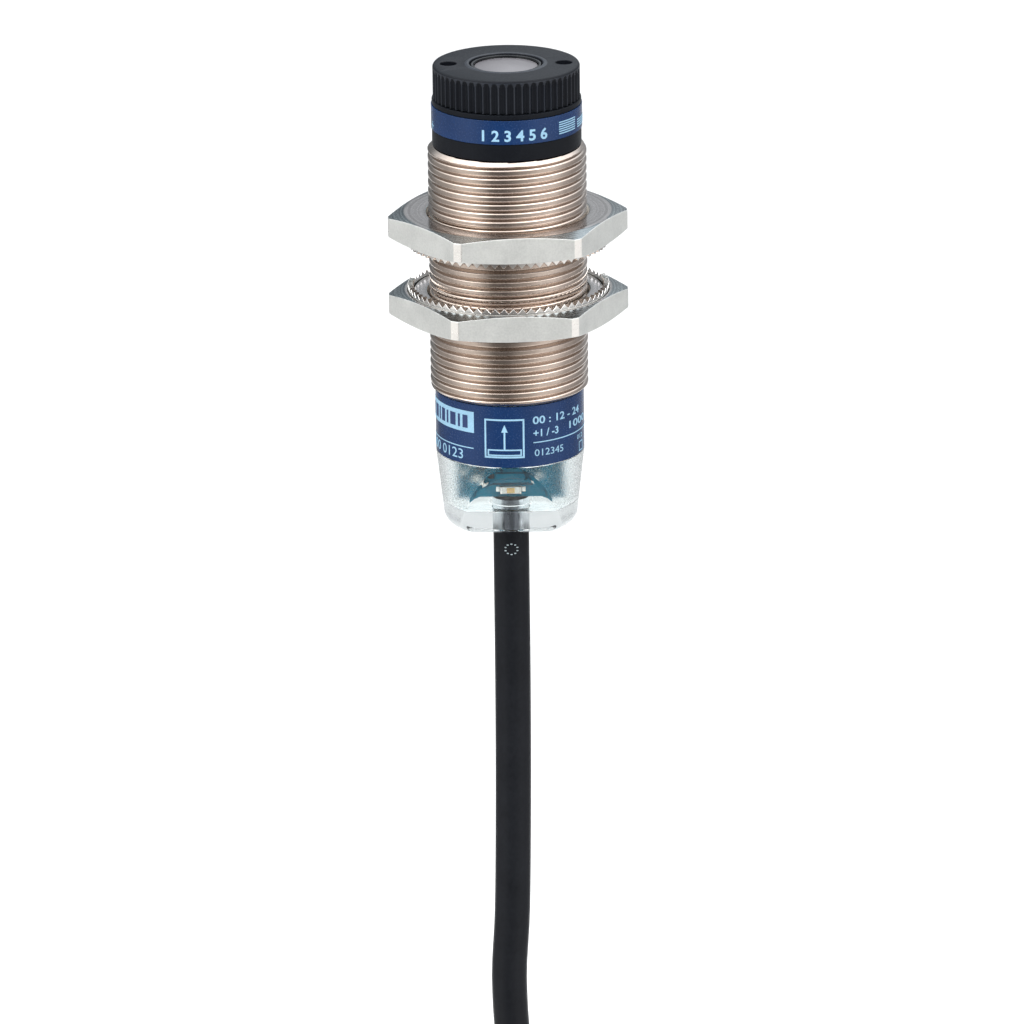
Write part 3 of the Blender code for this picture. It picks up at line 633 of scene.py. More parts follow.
def tube(name, line, radius, look, sides=12):
    """A wire along a line of points in millimetres, as a curve with filled ends."""
    curve = bpy.data.curves.new(name, "CURVE")
    curve.dimensions = "3D"
    curve.bevel_depth = radius * MM
    curve.bevel_resolution = sides // 4
    curve.use_fill_caps = True
    spline = curve.splines.new("POLY")
    spline.points.add(len(line) - 1)
    for knot, p in zip(spline.points, line):
        knot.co = (*(Vector(p) * MM), 1.0)
    spline.use_smooth = True
    curve.materials.append(LOOKS[look])
    made = link(name, curve)
    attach(made, "housing")
    return made


def make_leads():
    """Three flying leads with their ferrules at the cable's free end."""
    end = Vector(TAIL_ROUTE[-1])
    spread = {"brown": (-1.0, -0.55), "blue": (1.0, -0.55), "violet": (0.0, 1.1)}
    wire_looks = {"brown": "brown", "blue": "wire_blue", "violet": "violet"}
    made = []
    for colour, (dx, dy) in spread.items():
        start = end + Vector((0.85 * dx, 0.85 * dy, -0.3))
        quarter = start + Vector((0.4 * dx, 0.3 * dy, -4.0))
        middle = start + Vector((2.2 * dx, 1.2 * dy, -12.0))
        tip = start + Vector((3.2 * dx, 1.6 * dy, -20.0))
        line = smooth_line([start, quarter, middle, tip], 0.8)
        wire = tube(f"flying_lead_{colour}", line, 0.65, wire_looks[colour])
        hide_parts(f"lead_{colour}")
        made.append(wire)
        top, foot = tip.z - 0.3, tip.z - 6.3
        profile = [
            (0.0, foot), (0.5, foot), (0.55, foot + 0.2), (0.55, foot + 1.5), (0.46, foot + 1.7),
            (0.46, foot + 3.9), (0.55, foot + 4.1), (0.55, top - 0.5), (0.75, top), (0.0, top),
        ]
        bm = turned_mesh(profile, 20, False, 0.05, (tip.x, tip.y))
        made.append(piece(f"ferrule_crimped_{colour}", bm, "tin",
                          nodes=[f"ferrule_{colour}"]))
    bm = turned_mesh([(0.0, end.z - 0.12), (1.7, end.z - 0.12), (1.7, end.z - 0.02), (0.0, end.z - 0.02)],
                     24, False, 0.03, (end.x, end.y))
    made.append(piece("cable_end_filler", bm, "filler"))
    return made


def make_strap():
    """Hook-and-loop strap round the hank, with its free end lapped over the front."""
    half_x = high("cable_tie", 0) - 1.3
    half_y = high("cable_tie", 1) - 1.3
    corner = 3.2
    wall, bottom, top = 1.0, low("cable_tie"), high("cable_tie")

    points = []
    for quarter, (sx, sy) in enumerate(((1, 1), (-1, 1), (-1, -1), (1, -1))):
        for i in range(9):
            angle = radians(90 * (quarter + i / 8))
            points.append((sx * (half_x - corner) + corner * cos(angle),
                           sy * (half_y - corner) + corner * sin(angle)))
    inside = []
    for a, b in zip(points, points[1:] + points[:1]):
        steps = max(1, round(dist(a, b) / 1.5))
        for i in range(steps):
            inside.append((a[0] + (b[0] - a[0]) * i / steps, a[1] + (b[1] - a[1]) * i / steps))
    count = len(inside)
    outside = []
    for i, (x, y) in enumerate(inside):
        before, after = Vector(inside[i - 1]), Vector(inside[(i + 1) % count])
        along = (after - before).normalized()
        outside.append((x + along.y * wall, y - along.x * wall))
    rim = 0.25
    bm = bmesh.new()
    middle = [((a[0] + b[0]) / 2, (a[1] + b[1]) / 2) for a, b in zip(inside, outside)]
    rows = [
        [(x, y, bottom + rim) for x, y in inside], [(x, y, bottom) for x, y in middle],
        [(x, y, bottom + rim) for x, y in outside], [(x, y, top - rim) for x, y in outside],
        [(x, y, top) for x, y in middle], [(x, y, top - rim) for x, y in inside],
    ]
    skin(bm, rows, ring=True)
    tab = box_mesh((-9.0, -half_y - 1.7, bottom + 0.4), (6.0, -half_y - 1.02, top - 0.4), 0.3)
    merge(bm, tab)
    return piece("strap", bm, "strap", nodes=["cable_tie"], smooth=40)


def make_cable():
    """The whole cable as one cord: hanging stretch, folded hank and tail, 2 m long."""
    start = smooth_line(CABLE_ROUTE + JOINING + [(BEND_R, 2 * 2 * CABLE_R, TOP_CENTRE)], 2.2)
    tail = smooth_line(TAIL_ROUTE, 2.0)
    line = start[:-1] + hank_turns() + tail
    cable = tube("cable_whole", line, CABLE_R, "jacket", 20)
    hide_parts("cable", "cable_hank", "cable_tail")
    on_it = make_leads() + [make_strap()]


def make_room():
    """Pale floor, soft lights and a light tent that only mirror-like reflections see."""
    scene = bpy.context.scene
    scene.view_settings.view_transform = "Standard"
    world = bpy.data.worlds.new("studio")
    world.use_nodes = True
    world.node_tree.nodes["Background"].inputs["Color"].default_value = (0.97, 0.985, 1.0, 1.0)
    world.node_tree.nodes["Background"].inputs["Strength"].default_value = 0.85
    world.cycles_visibility.glossy = False
    scene.world = world

    floor_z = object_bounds()[0].z - 0.004
    bm = bmesh.new()
    place = Matrix.Translation((0, 0, floor_z))
    bmesh.ops.create_grid(bm, x_segments=8, y_segments=8, size=6.0, matrix=place)
    ground = link("floor", as_mesh("floor", bm))
    paper = Look("pale_paper", Roughness=0.9, Specular_IOR_Level=0.1)
    paper.set(Base_Color=paper.ramp(paper.noise(0.004, 3.0), (0.3, 0.93), (0.7, 0.96)))
    ground.data.materials.append(paper.material)
    ground.visible_glossy = False

    away = 1.1

    def softbox(name, azimuth, elevation, size, power):
        data = bpy.data.lights.new(name, "AREA")
        data.shape, data.size, data.size_y = "RECTANGLE", size, size
        data.energy = power
        light = link(name, data)
        a, e = radians(azimuth), radians(elevation)
        toward = Vector((sin(a) * cos(e), -cos(a) * cos(e), sin(e)))
        light.location = toward * away
        light.rotation_mode = "QUATERNION"
        light.rotation_quaternion = toward.to_track_quat("Z", "Y")
        light.visible_glossy = False

    softbox("key_softbox", -35.0, 42.0, 0.7, 9.0)
    softbox("fill_softbox", 55.0, 30.0, 0.8, 5.0)
    softbox("top_softbox", 180.0, 65.0, 0.8, 6.0)


def make_tent():
    """A large sphere that glows by direction: two tall softboxes at the sides and a bright ceiling."""
    bm = bmesh.new()
    bmesh.ops.create_uvsphere(bm, u_segments=64, v_segments=32, radius=3.0)
    tent = link("light_tent", as_mesh("light_tent", bm))
    look = Look("tent_glow")
    way = look.node("VectorMath", {0: look.place}, operation="NORMALIZE")
    split = look.tree.nodes.new("ShaderNodeSeparateXYZ")
    look.tree.links.new(way, split.inputs[0])
    x, y, z = split.outputs
    front = look.sum(y, -1.0, "MULTIPLY")
    around = look.span(look.node("Math", {0: x, 1: front}, operation="ARCTAN2"), -pi, pi, 0.0, 1.0)
    rise = look.span(look.node("Math", {0: z}, operation="ARCSINE"), -pi / 2, pi / 2, 0.0, 1.0)

    def by_degrees(value, full, *stops):
        return look.ramp(value, *((0.5 + turn / full, colour) for turn, colour in stops))

    by_height = by_degrees(
        rise, 180, (-90, (0.26, 0.255, 0.25)), (-50, (0.26, 0.255, 0.25)), (-36, (0.19, 0.185, 0.18)),
        (0, (0.19, 0.187, 0.185)), (9, 0.20), (18, 0.26), (27, 0.60), (36, 0.92), (70, 0.95), (90, 0.60),
    )
    by_turn = by_degrees(
        around, 360, (-180, (0.40, 0.42, 0.44)), (-174, (0.20, 0.22, 0.235)), (-148, (0.20, 0.22, 0.235)),
        (-120, (0.40, 0.405, 0.41)), (-94, 0.56), (-72, (0.98, 0.98, 0.97)), (-52, (1.0, 1.0, 0.98)),
        (-36, (0.55, 0.545, 0.54)), (-24, (0.20, 0.195, 0.19)), (-4, (0.16, 0.155, 0.155)),
        (12, (0.34, 0.335, 0.33)), (34, (0.66, 0.65, 0.64)), (48, (1.0, 0.99, 0.98)), (70, 1.0),
        (90, (0.60, 0.60, 0.61)), (118, (0.40, 0.405, 0.415)), (150, (0.37, 0.40, 0.43)),
        (180, (0.42, 0.445, 0.465)),
    )
    ceiling = look.tree.nodes.new("ShaderNodeMix")
    ceiling.data_type = "VECTOR"
    look.join(ceiling.inputs["Factor"], look.span(z, 0.70, 0.98, 0.0, 1.0))
    look.join(ceiling.inputs[4], by_turn)
    look.join(ceiling.inputs[5], (0.60, 0.61, 0.63))
    lit = look.node("VectorMath", {0: by_height, 1: ceiling.outputs[1]}, operation="MULTIPLY")
    below = look.sum(look.sum(y, 0.6, "MULTIPLY"), look.sum(z, -0.8, "MULTIPLY"))
    under = look.span(below, 0.70, 0.92, 0.0, 0.26)
    glow = look.node("VectorMath", {0: lit, 1: under})
    lamp = look.tree.nodes.new("ShaderNodeEmission")
    lamp.inputs["Strength"].default_value = 5.0
    look.tree.links.new(glow, lamp.inputs["Color"])
    out = look.tree.nodes["Material Output"]
    look.tree.links.new(lamp.outputs[0], out.inputs["Surface"])
    look.material.cycles.emission_sampling = "NONE"
    tent.data.materials.append(look.material)
    for ray in ("camera", "diffuse", "transmission", "volume_scatter", "shadow"):
        setattr(tent, f"visible_{ray}", False)


# ---- barrel and nuts


def make_barrel():
    """Threaded tube with chamfered ends."""
    count, chamfer = 144, 0.45
    angles = [TURN * i / count for i in range(count)]
    slope = (CREST_R - ROOT_R - 0.05) / chamfer

    def radius_at(z, angle):
        from_end = min(z - BARREL_LOW, BARREL_HIGH - z)
        return min(thread_radius(z, angle), ROOT_R + 0.05 + from_end * slope)

    bm = bmesh.new()
    bottom, top = helix_rows(bm, angles, BARREL_LOW, BARREL_HIGH, radius_at)
    lip = 0.25
    skin(bm, [
        top, circle(BORE_R + lip, BARREL_HIGH, count), circle(BORE_R, BARREL_HIGH - lip, count),
        circle(BORE_R, BARREL_LOW + lip, count), circle(BORE_R + lip, BARREL_LOW, count), bottom,
    ])
    piece("barrel_thread", bm, "barrel", nodes=["threaded_barrel"], smooth=50, even=False)


def hex_angles(turn):
    """Directions of the nut's columns, close together where a flat meets the small flat at a corner."""
    half = [0.0, 5.0, 10.0, 15.0, 19.5, 23.0, 25.8, 27.0, 27.55, 27.85, 28.1, 28.45, 29.1]
    side = [-a for a in reversed(half[1:])] + half
    return [radians(turn - 90 + 60 * k + a) for k in range(6) for a in side]


def from_flat(angle, turn):
    """Degrees between a direction and the middle of the nearest flat, from -30 to 30."""
    return (degrees(angle) - turn + 90 + 30) % 60 - 30


def hex_reach(angle, turn):
    """Distance from the axis to the nut's side: a smooth minimum of its flat and its corner's small flat."""
    relative = from_flat(angle, turn)
    flat = HEX_R / cos(radians(relative))
    corner = CORNER_R / cos(radians(30 - abs(relative)))
    hardness, near = 60.0, 13
    return near - log(exp(-hardness * (flat - near)) + exp(-hardness * (corner - near))) / hardness


def make_nut(name, side, turn, body, node):
    """Thin hexagon nut: turned face, chamfers, groove for the toothed ring and a real thread."""
    angles = hex_angles(turn)
    reach = [hex_reach(a, turn) for a in angles]
    thick = NUT_OUTER - NUT_FACE
    face_r, slope, edge = 11.88, 0.24, 0.05
    easing = [(1.0, 0.0), (0.35, 0.35), (0.0, 1.1)]

    def height(h):
        return side * (NUT_FACE + h)

    def level(r, h):
        return [polar(r, a, height(h)) for a in angles]

    def along_side(inset, drop, outer):
        points = []
        for a, r in zip(angles, reach):
            at = r - inset
            h = max(at - face_r, 0.0) * slope + drop
            points.append(polar(at, a, height(thick - h if outer else h)))
        return points

    groove_out, groove_in, groove_deep, recess = 11.5, 10.7, 0.95, 0.12
    mouth, thread_in, thread_out = 9.3, 0.78, thick - 0.5
    bm = bmesh.new()
    zs = sorted((height(thread_in), height(thread_out)))
    lowest, highest = helix_rows(bm, angles, *zs, lambda z, a: thread_radius(z, a, 0.12), 8)
    inner_end, outer_end = (lowest, highest) if side > 0 else (highest, lowest)
    loops = [
        outer_end,
        level(mouth - 0.03, thick - 0.02), level(mouth + 0.05, thick),
        level(face_r - 0.75, thick), level(face_r - 0.12, thick),
        *(along_side(edge * a, edge * b, True) for a, b in easing),
        *(along_side(edge * a, edge * b, False) for a, b in reversed(easing)),
        level(face_r - 0.12, 0.0), level(groove_out + 0.05, 0.0), level(groove_out, 0.05),
        level(groove_out, groove_deep), level(groove_in, groove_deep), level(groove_in, recess + 0.05),
        level(groove_in - 0.05, recess), level(mouth + 0.05, recess), level(mouth - 0.03, recess + 0.02),
        inner_end,
    ]
    skin(bm, loops)
    made = piece(name, bm, "nut nut_face nut_edge nut_corner", body, [node], smooth=11)
    # By direction: flat faces get the painted-shade copy, chamfers the darker painted-shade copy and the
    # small corner flats the painted-highlight copy.
    for polygon in made.data.polygons:
        normal = polygon.normal
        away = abs(from_flat(atan2(normal.y, normal.x), turn))
        if abs(normal.z) > 0.99:
            polygon.material_index = 1
        elif abs(normal.z) > 0.93:
            polygon.material_index = 2
        elif abs(normal.z) < 0.3 and away > 12 and polygon.center.length > HEX_R * MM:
            polygon.material_index = 3


def make_tooth_ring(name, side, body, node):
    """Ring of pointed teeth that bite on the panel."""
    teeth = 70
    inner_r, outer_r = 10.8, 11.4
    base, valley, tip = NUT_FACE + 0.85, NUT_FACE - 0.22, NUT_FACE - 0.69
    shares = [(0.03, valley), (0.26, (valley + tip) / 2), (0.465, tip), (0.535, tip),
              (0.74, (valley + tip) / 2), (0.97, valley)]
    columns = [(TURN * (k + 0.5 + share) / teeth, z) for k in range(teeth) for share, z in shares]

    def row(radius, shift=0.0, level=None):
        return [polar(radius, a, side * (z + shift if level is None else level)) for a, z in columns]

    ease = 0.03
    bm = bmesh.new()
    skin(bm, [
        row(inner_r, level=base), row(outer_r, level=base), row(outer_r, ease), row(outer_r - ease),
        row(inner_r + ease), row(inner_r, ease),
    ], ring=True)
    piece(name, bm, "teeth", body, [node], smooth=25)


# ---- nose


def make_adjusting_ring():
    """Fluted cap: scallops with arched tops, two pin holes and a raised rim round the window."""
    flutes, per_flute = 58, 12
    count = flutes * per_flute
    depth, arch_low, arch_height = 0.30, NOSE_TOP - 0.95, 0.70
    round_drop, round_in = 0.36, 0.30
    skirt_r, disc = 6.9, 1.3
    hole_r, hole_depth, hole_x, hole_sides = 0.95, 0.95, 6.5, 36

    def outer(z):
        below = NOSE_TOP - z
        if below >= round_drop:
            return RING_R
        return RING_R - round_in + round_in * sqrt(max(0.0, 1 - (1 - below / round_drop) ** 2))

    def fluted(z):
        rise = max(0.0, (z - arch_low) / arch_height) ** 2
        points = []
        for i in range(count):
            across = min(1.0, abs(2 * (i % per_flute) / per_flute - 1) * 1.1)
            r = min(outer(z), RING_R - depth * (1 - across * across) + depth * rise)
            angle = TURN * (i + 0.5 * per_flute) / count
            points.append(polar(r, angle, z))
        return points

    heights = [RING_LOW, RING_LOW + 0.08, RING_LOW + 1.0, RING_LOW + 2.0, arch_low]
    heights += [arch_low + arch_height * sin(radians(90 * i / 12)) for i in range(1, 13)]
    heights += [NOSE_TOP - round_drop * cos(radians(a)) for a in (15, 35, 52, 66, 78, 90)]
    heights = sorted(heights)
    bm = bmesh.new()
    rows = skin(bm, [fluted(z) for z in heights])
    plain = 96
    rim = [(0.50, 0.0), (0.42, 0.02), (0.36, 0.06), (0.29, RIM), (0.14, RIM), (0.05, 0.05), (0.0, -0.03),
           (0.0, -disc)]
    window = [circle(WINDOW_R + wide, NOSE_TOP + rise, plain) for wide, rise in rim]
    inside = skin(bm, [*window, circle(skirt_r, NOSE_TOP - disc, plain), circle(skirt_r, RING_LOW, plain)])
    hole = [(hole_r + 0.06, 0.0), (hole_r, 0.06), (hole_r, hole_depth), (hole_r * 0.8, hole_depth + 0.08),
            (0, hole_depth + 0.1)]
    holes = [
        skin(bm, [circle(r, NOSE_TOP - drop, hole_sides, side * hole_x) for r, drop in hole])[0]
        for side in (-1, 1)
    ]
    fill(bm, rows[-1], inside[0], *holes)
    fill(bm, rows[0], inside[-1])
    dial = piece("focus_dial", bm, "black black_crest", "focus_ring", ["adjusting_ring"],
                 smooth=35)
    # Flute crests and the lip round the window get the lighter copy: a painted highlight.
    for polygon in dial.data.polygons:
        spot = polygon.center / MM
        crest = hypot(spot.x, spot.y) > RING_R - 0.06 and abs(polygon.normal.z) < 0.3
        lip = abs(hypot(spot.x, spot.y) - WINDOW_R - 0.22) < 0.25 and abs(polygon.normal.z) > 0.2
        if crest or lip:
            polygon.material_index = 1


def make_band(name, node, wall):
    """A thin blue band in a CAD solid's place."""
    outer, bottom, top = high(node, 0), low(node), high(node)
    profile = [(outer - wall, bottom), (outer, bottom), (outer, top), (outer - wall, top)]
    piece(name, turned_mesh(profile, 144, edge=0.05), "blue", nodes=[node])


def make_collar():
    """Fixed nose under the dial: neck, strip, seat for the band and flange on the barrel."""
    ring_low = RING_LOW - GAP
    seat_r, plug_r, neck_r, bore_r = 8.2, BORE_R - 0.15, 6.75, 4.75
    strip_low, plug_low, neck_top = BAND_HIGH + 0.05, BARREL_HIGH - 4.0, NOSE_TOP - 1.5
    profile = [
        (bore_r, plug_low), (plug_r, plug_low), (plug_r, BARREL_HIGH - 2.5), (neck_r, BARREL_HIGH - 2.5),
        (neck_r, BARREL_HIGH - 1.7), (plug_r, BARREL_HIGH - 1.7), (plug_r, BARREL_HIGH + GAP),
        (COLLAR_R, BARREL_HIGH + GAP), (COLLAR_R, BAND_LOW - 0.05), (seat_r, BAND_LOW - 0.05),
        (seat_r, strip_low), (COLLAR_R, strip_low), (COLLAR_R, ring_low), (neck_r, ring_low),
        (neck_r, RING_LOW + 0.1), (6.2, RING_LOW + 0.1), (6.2, RING_LOW + 0.75), (neck_r, RING_LOW + 0.75),
        (neck_r, neck_top), (bore_r, neck_top),
    ]
    body = turned_mesh(profile, 120, edge=0.07)
    slots = box_mesh((-7.5, -0.7, NOSE_TOP - 2.9), (7.5, 0.7, NOSE_TOP))
    piece("nose_collar", carve(body, [slots]), "black", nodes=["front_collar"])
    make_band("marked_band", "front_band", 0.22)


def make_optics():
    """Lens in its sliding carrier."""
    z = NOSE_TOP
    profile = [
        (3.3, z - 6.2), (4.6, z - 6.2), (4.6, z - 4.6), (3.98, z - 4.6), (3.98, z - 0.1), (3.68, z - 0.1),
        (3.62, z - 0.85), (3.3, z - 0.85),
    ]
    carrier = turned_mesh(profile, 96, edge=0.06)
    lugs = [box_mesh((x0, -0.55, z - 2.4), (x1, 0.55, z - 2.0)) for x0, x1 in ((-6.4, -3.5), (3.5, 6.4))]
    piece("lens_mount", carve(carrier, lugs, "UNION"), "black_smooth", "lens_unit",
          ["lens_carrier"])
    edge_r, low_z, high_z, dome, sag = 3.55, z - 0.8, z - 0.35, 0.35, 0.7
    outline = [(0.0, low_z - sag)]
    outline += [(edge_r * 0.9 * i / 10, low_z - sag * (1 - (i / 10) ** 2)) for i in range(1, 11)]
    outline += [(edge_r, low_z), (edge_r, high_z)]
    outline += [(edge_r * i / 14, high_z + dome * (1 - (i / 14) ** 2)) for i in range(13, 0, -1)]
    outline += [(0.0, high_z + dome)]
    piece("beam_lens", turned_mesh(outline, 96, False, 0.0), "lens", "lens_unit",
          ["front_lens"], smooth=40)


# ---- printed marks


class Marks:
    """Printed shapes in a label's own plane: across round the cylinder from its front, and up along Z."""

    def __init__(self, radius, thickness=0.022):
        self.radius, self.thickness = radius, thickness
        self.bm = bmesh.new()

    def shape(self, points):
        """A filled outline of (across, up) points."""
        prism(self.bm, points, 0.0, self.thickness, lambda x, y, z: (x, y, z))

    def bar(self, x0, y0, x1, y1):
        self.shape([(x0, y0), (x1, y0), (x1, y1), (x0, y1)])

    def line(self, a, b, width):
        along = (Vector(b) - Vector(a)).normalized() * (width / 2)
        side = Vector((-along.y, along.x))
        self.shape([tuple(Vector(p) + s) for p, s in ((a, -side), (b, -side), (b, side), (a, side))])

    def frame(self, x0, y0, x1, y1, width):
        self.bar(x0, y0, x1, y0 + width)
        self.bar(x0, y1 - width, x1, y1)
        self.bar(x0, y0 + width, x0 + width, y1 - width)
        self.bar(x1 - width, y0 + width, x1, y1 - width)

    def digits(self, text, x, y, height, width, weight=0.0):
        """Numbers that fill a width, with their left foot at (x, y)."""
        curve = bpy.data.curves.new("digits", "FONT")
        curve.body = text
        curve.size = height / 0.72
        curve.offset = weight
        curve.extrude = self.thickness / 2
        curve.resolution_u = 3
        holder = link("digits", curve)
        bpy.context.view_layer.update()
        mesh = holder.to_mesh()
        moved = mesh.copy()
        holder.to_mesh_clear()
        first = min(v.co.x for v in moved.vertices)
        stretch = width / (max(v.co.x for v in moved.vertices) - first)
        place = Matrix.Translation((x - first * stretch, y, self.thickness / 2))
        moved.transform(place @ Matrix.Diagonal((stretch, 1.0, 1.0, 1.0)))
        self.bm.from_mesh(moved)
        bpy.data.meshes.remove(moved)
        bpy.data.objects.remove(holder)
        bpy.data.curves.remove(curve)

    def wrap(self, name, look, body="housing"):
        """Bend the shapes round the cylinder, just proud of it."""
        xs = [v.co.x for v in self.bm.verts]
        step = self.radius * 0.055
        at = floor(min(xs) / step) * step
        while at < max(xs):
            everything = self.bm.verts[:] + self.bm.edges[:] + self.bm.faces[:]
            plane = {"plane_co": (at, 0, 0), "plane_no": (1, 0, 0), "dist": 0.0005}
            bmesh.ops.bisect_plane(self.bm, geom=everything, **plane)
            at += step
        for v in self.bm.verts:
            across, up, proud = v.co
            angle, r = across / self.radius, self.radius + 0.004 + proud
            v.co = (r * sin(angle), -r * cos(angle), up)
        return piece(name, self.bm, look, body, smooth=0)


def make_label():
    """Printed label round the cap's neck. All lettering is plain numbers and simple symbols."""
    make_band("marked_sleeve", "rear_label", 0.23)
    marks = Marks(LABEL_R)
    top = LABEL_HIGH
    marks.bar(-13.2, top - 3.32, -4.26, top - 0.85)                    # plate for a type number
    marks.line((-13.2, top - 5.15), (-4.34, top - 5.15), 0.12)
    marks.digits("000 0123", -12.9, top - 6.62, 1.2, 7.1)
    marks.frame(-2.95, top - 6.05, 1.62, top - 1.45, 0.20)             # beam symbol: arrow from a window
    marks.frame(-2.60, top - 5.80, 1.30, top - 5.02, 0.16)
    marks.line((-0.65, top - 5.02), (-0.65, top - 2.8), 0.20)
    marks.shape([(-1.02, top - 3.0), (-0.65, top - 2.1), (-0.28, top - 3.0)])
    marks.digits("00 : 12 - 24", 2.6, top - 2.16, 0.9, 7.25, 0.02)
    marks.digits("+1 / -3", 2.67, top - 3.67, 0.86, 3.25, 0.02)
    marks.digits("1000", 7.72, top - 3.55, 0.86, 4.06, 0.012)
    marks.line((2.66, top - 4.35), (13.6, top - 4.35), 0.12)
    marks.digits("012345", 2.8, top - 5.97, 0.82, 3.85)
    marks.digits("012", 9.4, top - 5.35, 0.55, 1.5)
    marks.frame(9.9, top - 6.9, 11.1, top - 5.75, 0.12)
    marks.wrap("label_marks", "print")
    plate = Marks(LABEL_R + 0.024)
    for start, width in ((-12.6, 0.5), (-11.6, 0.9), (-10.3, 0.3), (-9.6, 0.7), (-8.5, 0.3), (-7.8, 0.9),
                         (-6.5, 0.3), (-5.8, 0.7)):
        plate.bar(start, top - 2.85, start + width, top - 1.35)
    plate.wrap("plate_marks", "dark_blue")


def make_band_marks():
    """Scale numbers and a rising set of bars on the band under the dial."""
    marks = Marks(BAND_R)
    marks.digits("1 2 3 4 5 6", -2.83, BAND_LOW + 0.43, 1.25, 7.6, 0.045)
    for start, end, count, step in ((6.45, 9.5, 6, 0.26), (10.1, 13.3, 4, 0.27)):
        for k in range(count):
            level = BAND_LOW + 0.55 + step * k
            marks.bar(start, level, end, level + 0.13)
    cross_x, cross_z, arm = -11.45, BAND_LOW + 0.65, 0.45
    marks.line((cross_x - arm, cross_z), (cross_x + arm, cross_z), 0.14)
    marks.line((cross_x, cross_z - arm), (cross_x, cross_z + arm), 0.14)
    for k in range(8):
        start, tall = -22.0 + 1.1 * k, 0.7 if k % 2 else 1.2
        marks.bar(start, cross_z, start + 0.2, cross_z + tall)
    marks.wrap("band_marks", "print")


def make_cable_mark():
    """A small ring of dots printed on the jacket."""
    marks = Marks(CABLE_R + 0.005, 0.012)
    for k in range(10):
        angle = TURN * (k + 0.5) / 10
        x, y = 0.72 * cos(angle), CAP_LOW - 2.85 + 0.62 * sin(angle)
        marks.bar(x - 0.11, y - 0.06, x + 0.11, y + 0.06)
    marks.wrap("jacket_marks", "jacket_mark")


# ---- rear cap and what shows through it


FACET_LOW_Y = 4.45
CAP_LOW_R = 7.65
FACET_COLUMNS, SIDE_COLUMNS = 20, 44


def cap_loop(radius, z, inset=0.0):
    """A round loop cut flat at the front and the back, with eased corners."""
    share = (z - CAP_LOW) / (LABEL_LOW - CAP_LOW)
    narrow = 0.3
    flat_y = FACET_LOW_Y + (LABEL_R - FACET_LOW_Y) * share - inset
    flat_y = min(flat_y, sqrt(radius ** 2 - narrow ** 2))
    half_x = sqrt(radius ** 2 - flat_y ** 2)
    ease = min(0.07, 0.2 * half_x)
    points = []
    for i in range(FACET_COLUMNS):
        points.append((-half_x + ease + 2 * (half_x - ease) * i / (FACET_COLUMNS - 1), -flat_y, z))
    start = atan2(-flat_y, half_x) + ease / radius
    for i in range(SIDE_COLUMNS):
        angle = start - 2 * start * i / (SIDE_COLUMNS - 1)
        points.append(polar(radius, angle, z))
    return points + [(-x, -y, z) for x, y, z in points]


def make_cap():
    """Clear cap with grained sides, two polished facets and a pocket that follows them."""
    corner_r, corner_steps, side_rows, pocket_rows = 1.7, 8, 14, 16
    exit_r, seat_r = CABLE_R + 0.04, CABLE_R + 0.5
    neck_r, plug_r, inside_r, pocket_r = 8.15, BORE_R - 0.15, 6.3, 7.0
    shoulder, plug_top = BARREL_LOW - GAP, BARREL_LOW + 4.0
    groove_low, groove_high = plug_top - 1.6, plug_top - 0.9
    deck, inset = CAP_LOW + 2.75, 0.9
    skirt_top = LABEL_LOW - GAP
    outer = [cap_loop(exit_r + 0.1, CAP_LOW)]
    for i in range(corner_steps + 1):
        angle = radians(90 * i / corner_steps)
        drop = corner_r * (1 - cos(angle))
        outer.append(cap_loop(CAP_LOW_R - corner_r * (1 - sin(angle)), CAP_LOW + drop))
    for i in range(1, side_rows + 1):
        t = i / side_rows
        z = CAP_LOW + corner_r + (skirt_top - CAP_LOW - corner_r) * t
        outer.append(cap_loop(CAP_LOW_R + (LABEL_R - CAP_LOW_R) * t, z))
    bm = bmesh.new()
    half = [0] * FACET_COLUMNS + [1] * (SIDE_COLUMNS - 1) + [0]
    rows = skin(bm, outer, slots=half * 2)

    def around(radius, z):
        return cap_loop(radius, z, -50.0)

    inner = [
        around(neck_r, skirt_top), around(neck_r, shoulder), around(plug_r, shoulder),
        around(plug_r, groove_low), around(plug_r - 0.5, groove_low), around(plug_r - 0.5, groove_high),
        around(plug_r, groove_high), around(plug_r, plug_top), around(inside_r, plug_top),
        around(inside_r, skirt_top + 1.2),
    ]
    pocket_top = skirt_top + 0.4
    for i in range(pocket_rows + 1):
        inner.append(cap_loop(pocket_r, pocket_top + (deck + 0.2 - pocket_top) * i / pocket_rows, inset))
    inner += [
        cap_loop(pocket_r - 0.06, deck + 0.06, inset + 0.06), cap_loop(pocket_r - 0.2, deck, inset + 0.2),
        around(seat_r, deck), around(seat_r, deck - 0.35), around(exit_r, deck - 0.35),
        around(exit_r, CAP_LOW + 0.1),
    ]
    skin(bm, [rows[-1], *inner, rows[0]])
    piece("clear_cap", bm, "clear grained", nodes=["rear_cap"], smooth=28)


def make_crimp():
    """Bright sleeve on the cable's end, moulded into the cap, so that no air gap dulls it. It wears the
    sleeve look, whose bright sides are painted sheen.
    """
    bottom, top = CAP_LOW + 0.12, high("crimp_sleeve")
    inner_r, outer_r = CABLE_R + 0.01, CABLE_R + 0.06
    profile = [(inner_r, bottom), (outer_r, bottom), (outer_r, top), (inner_r, top)]
    piece("cable_crimp", turned_mesh(profile, 64, edge=0.02), "sleeve",
          nodes=["crimp_sleeve"])


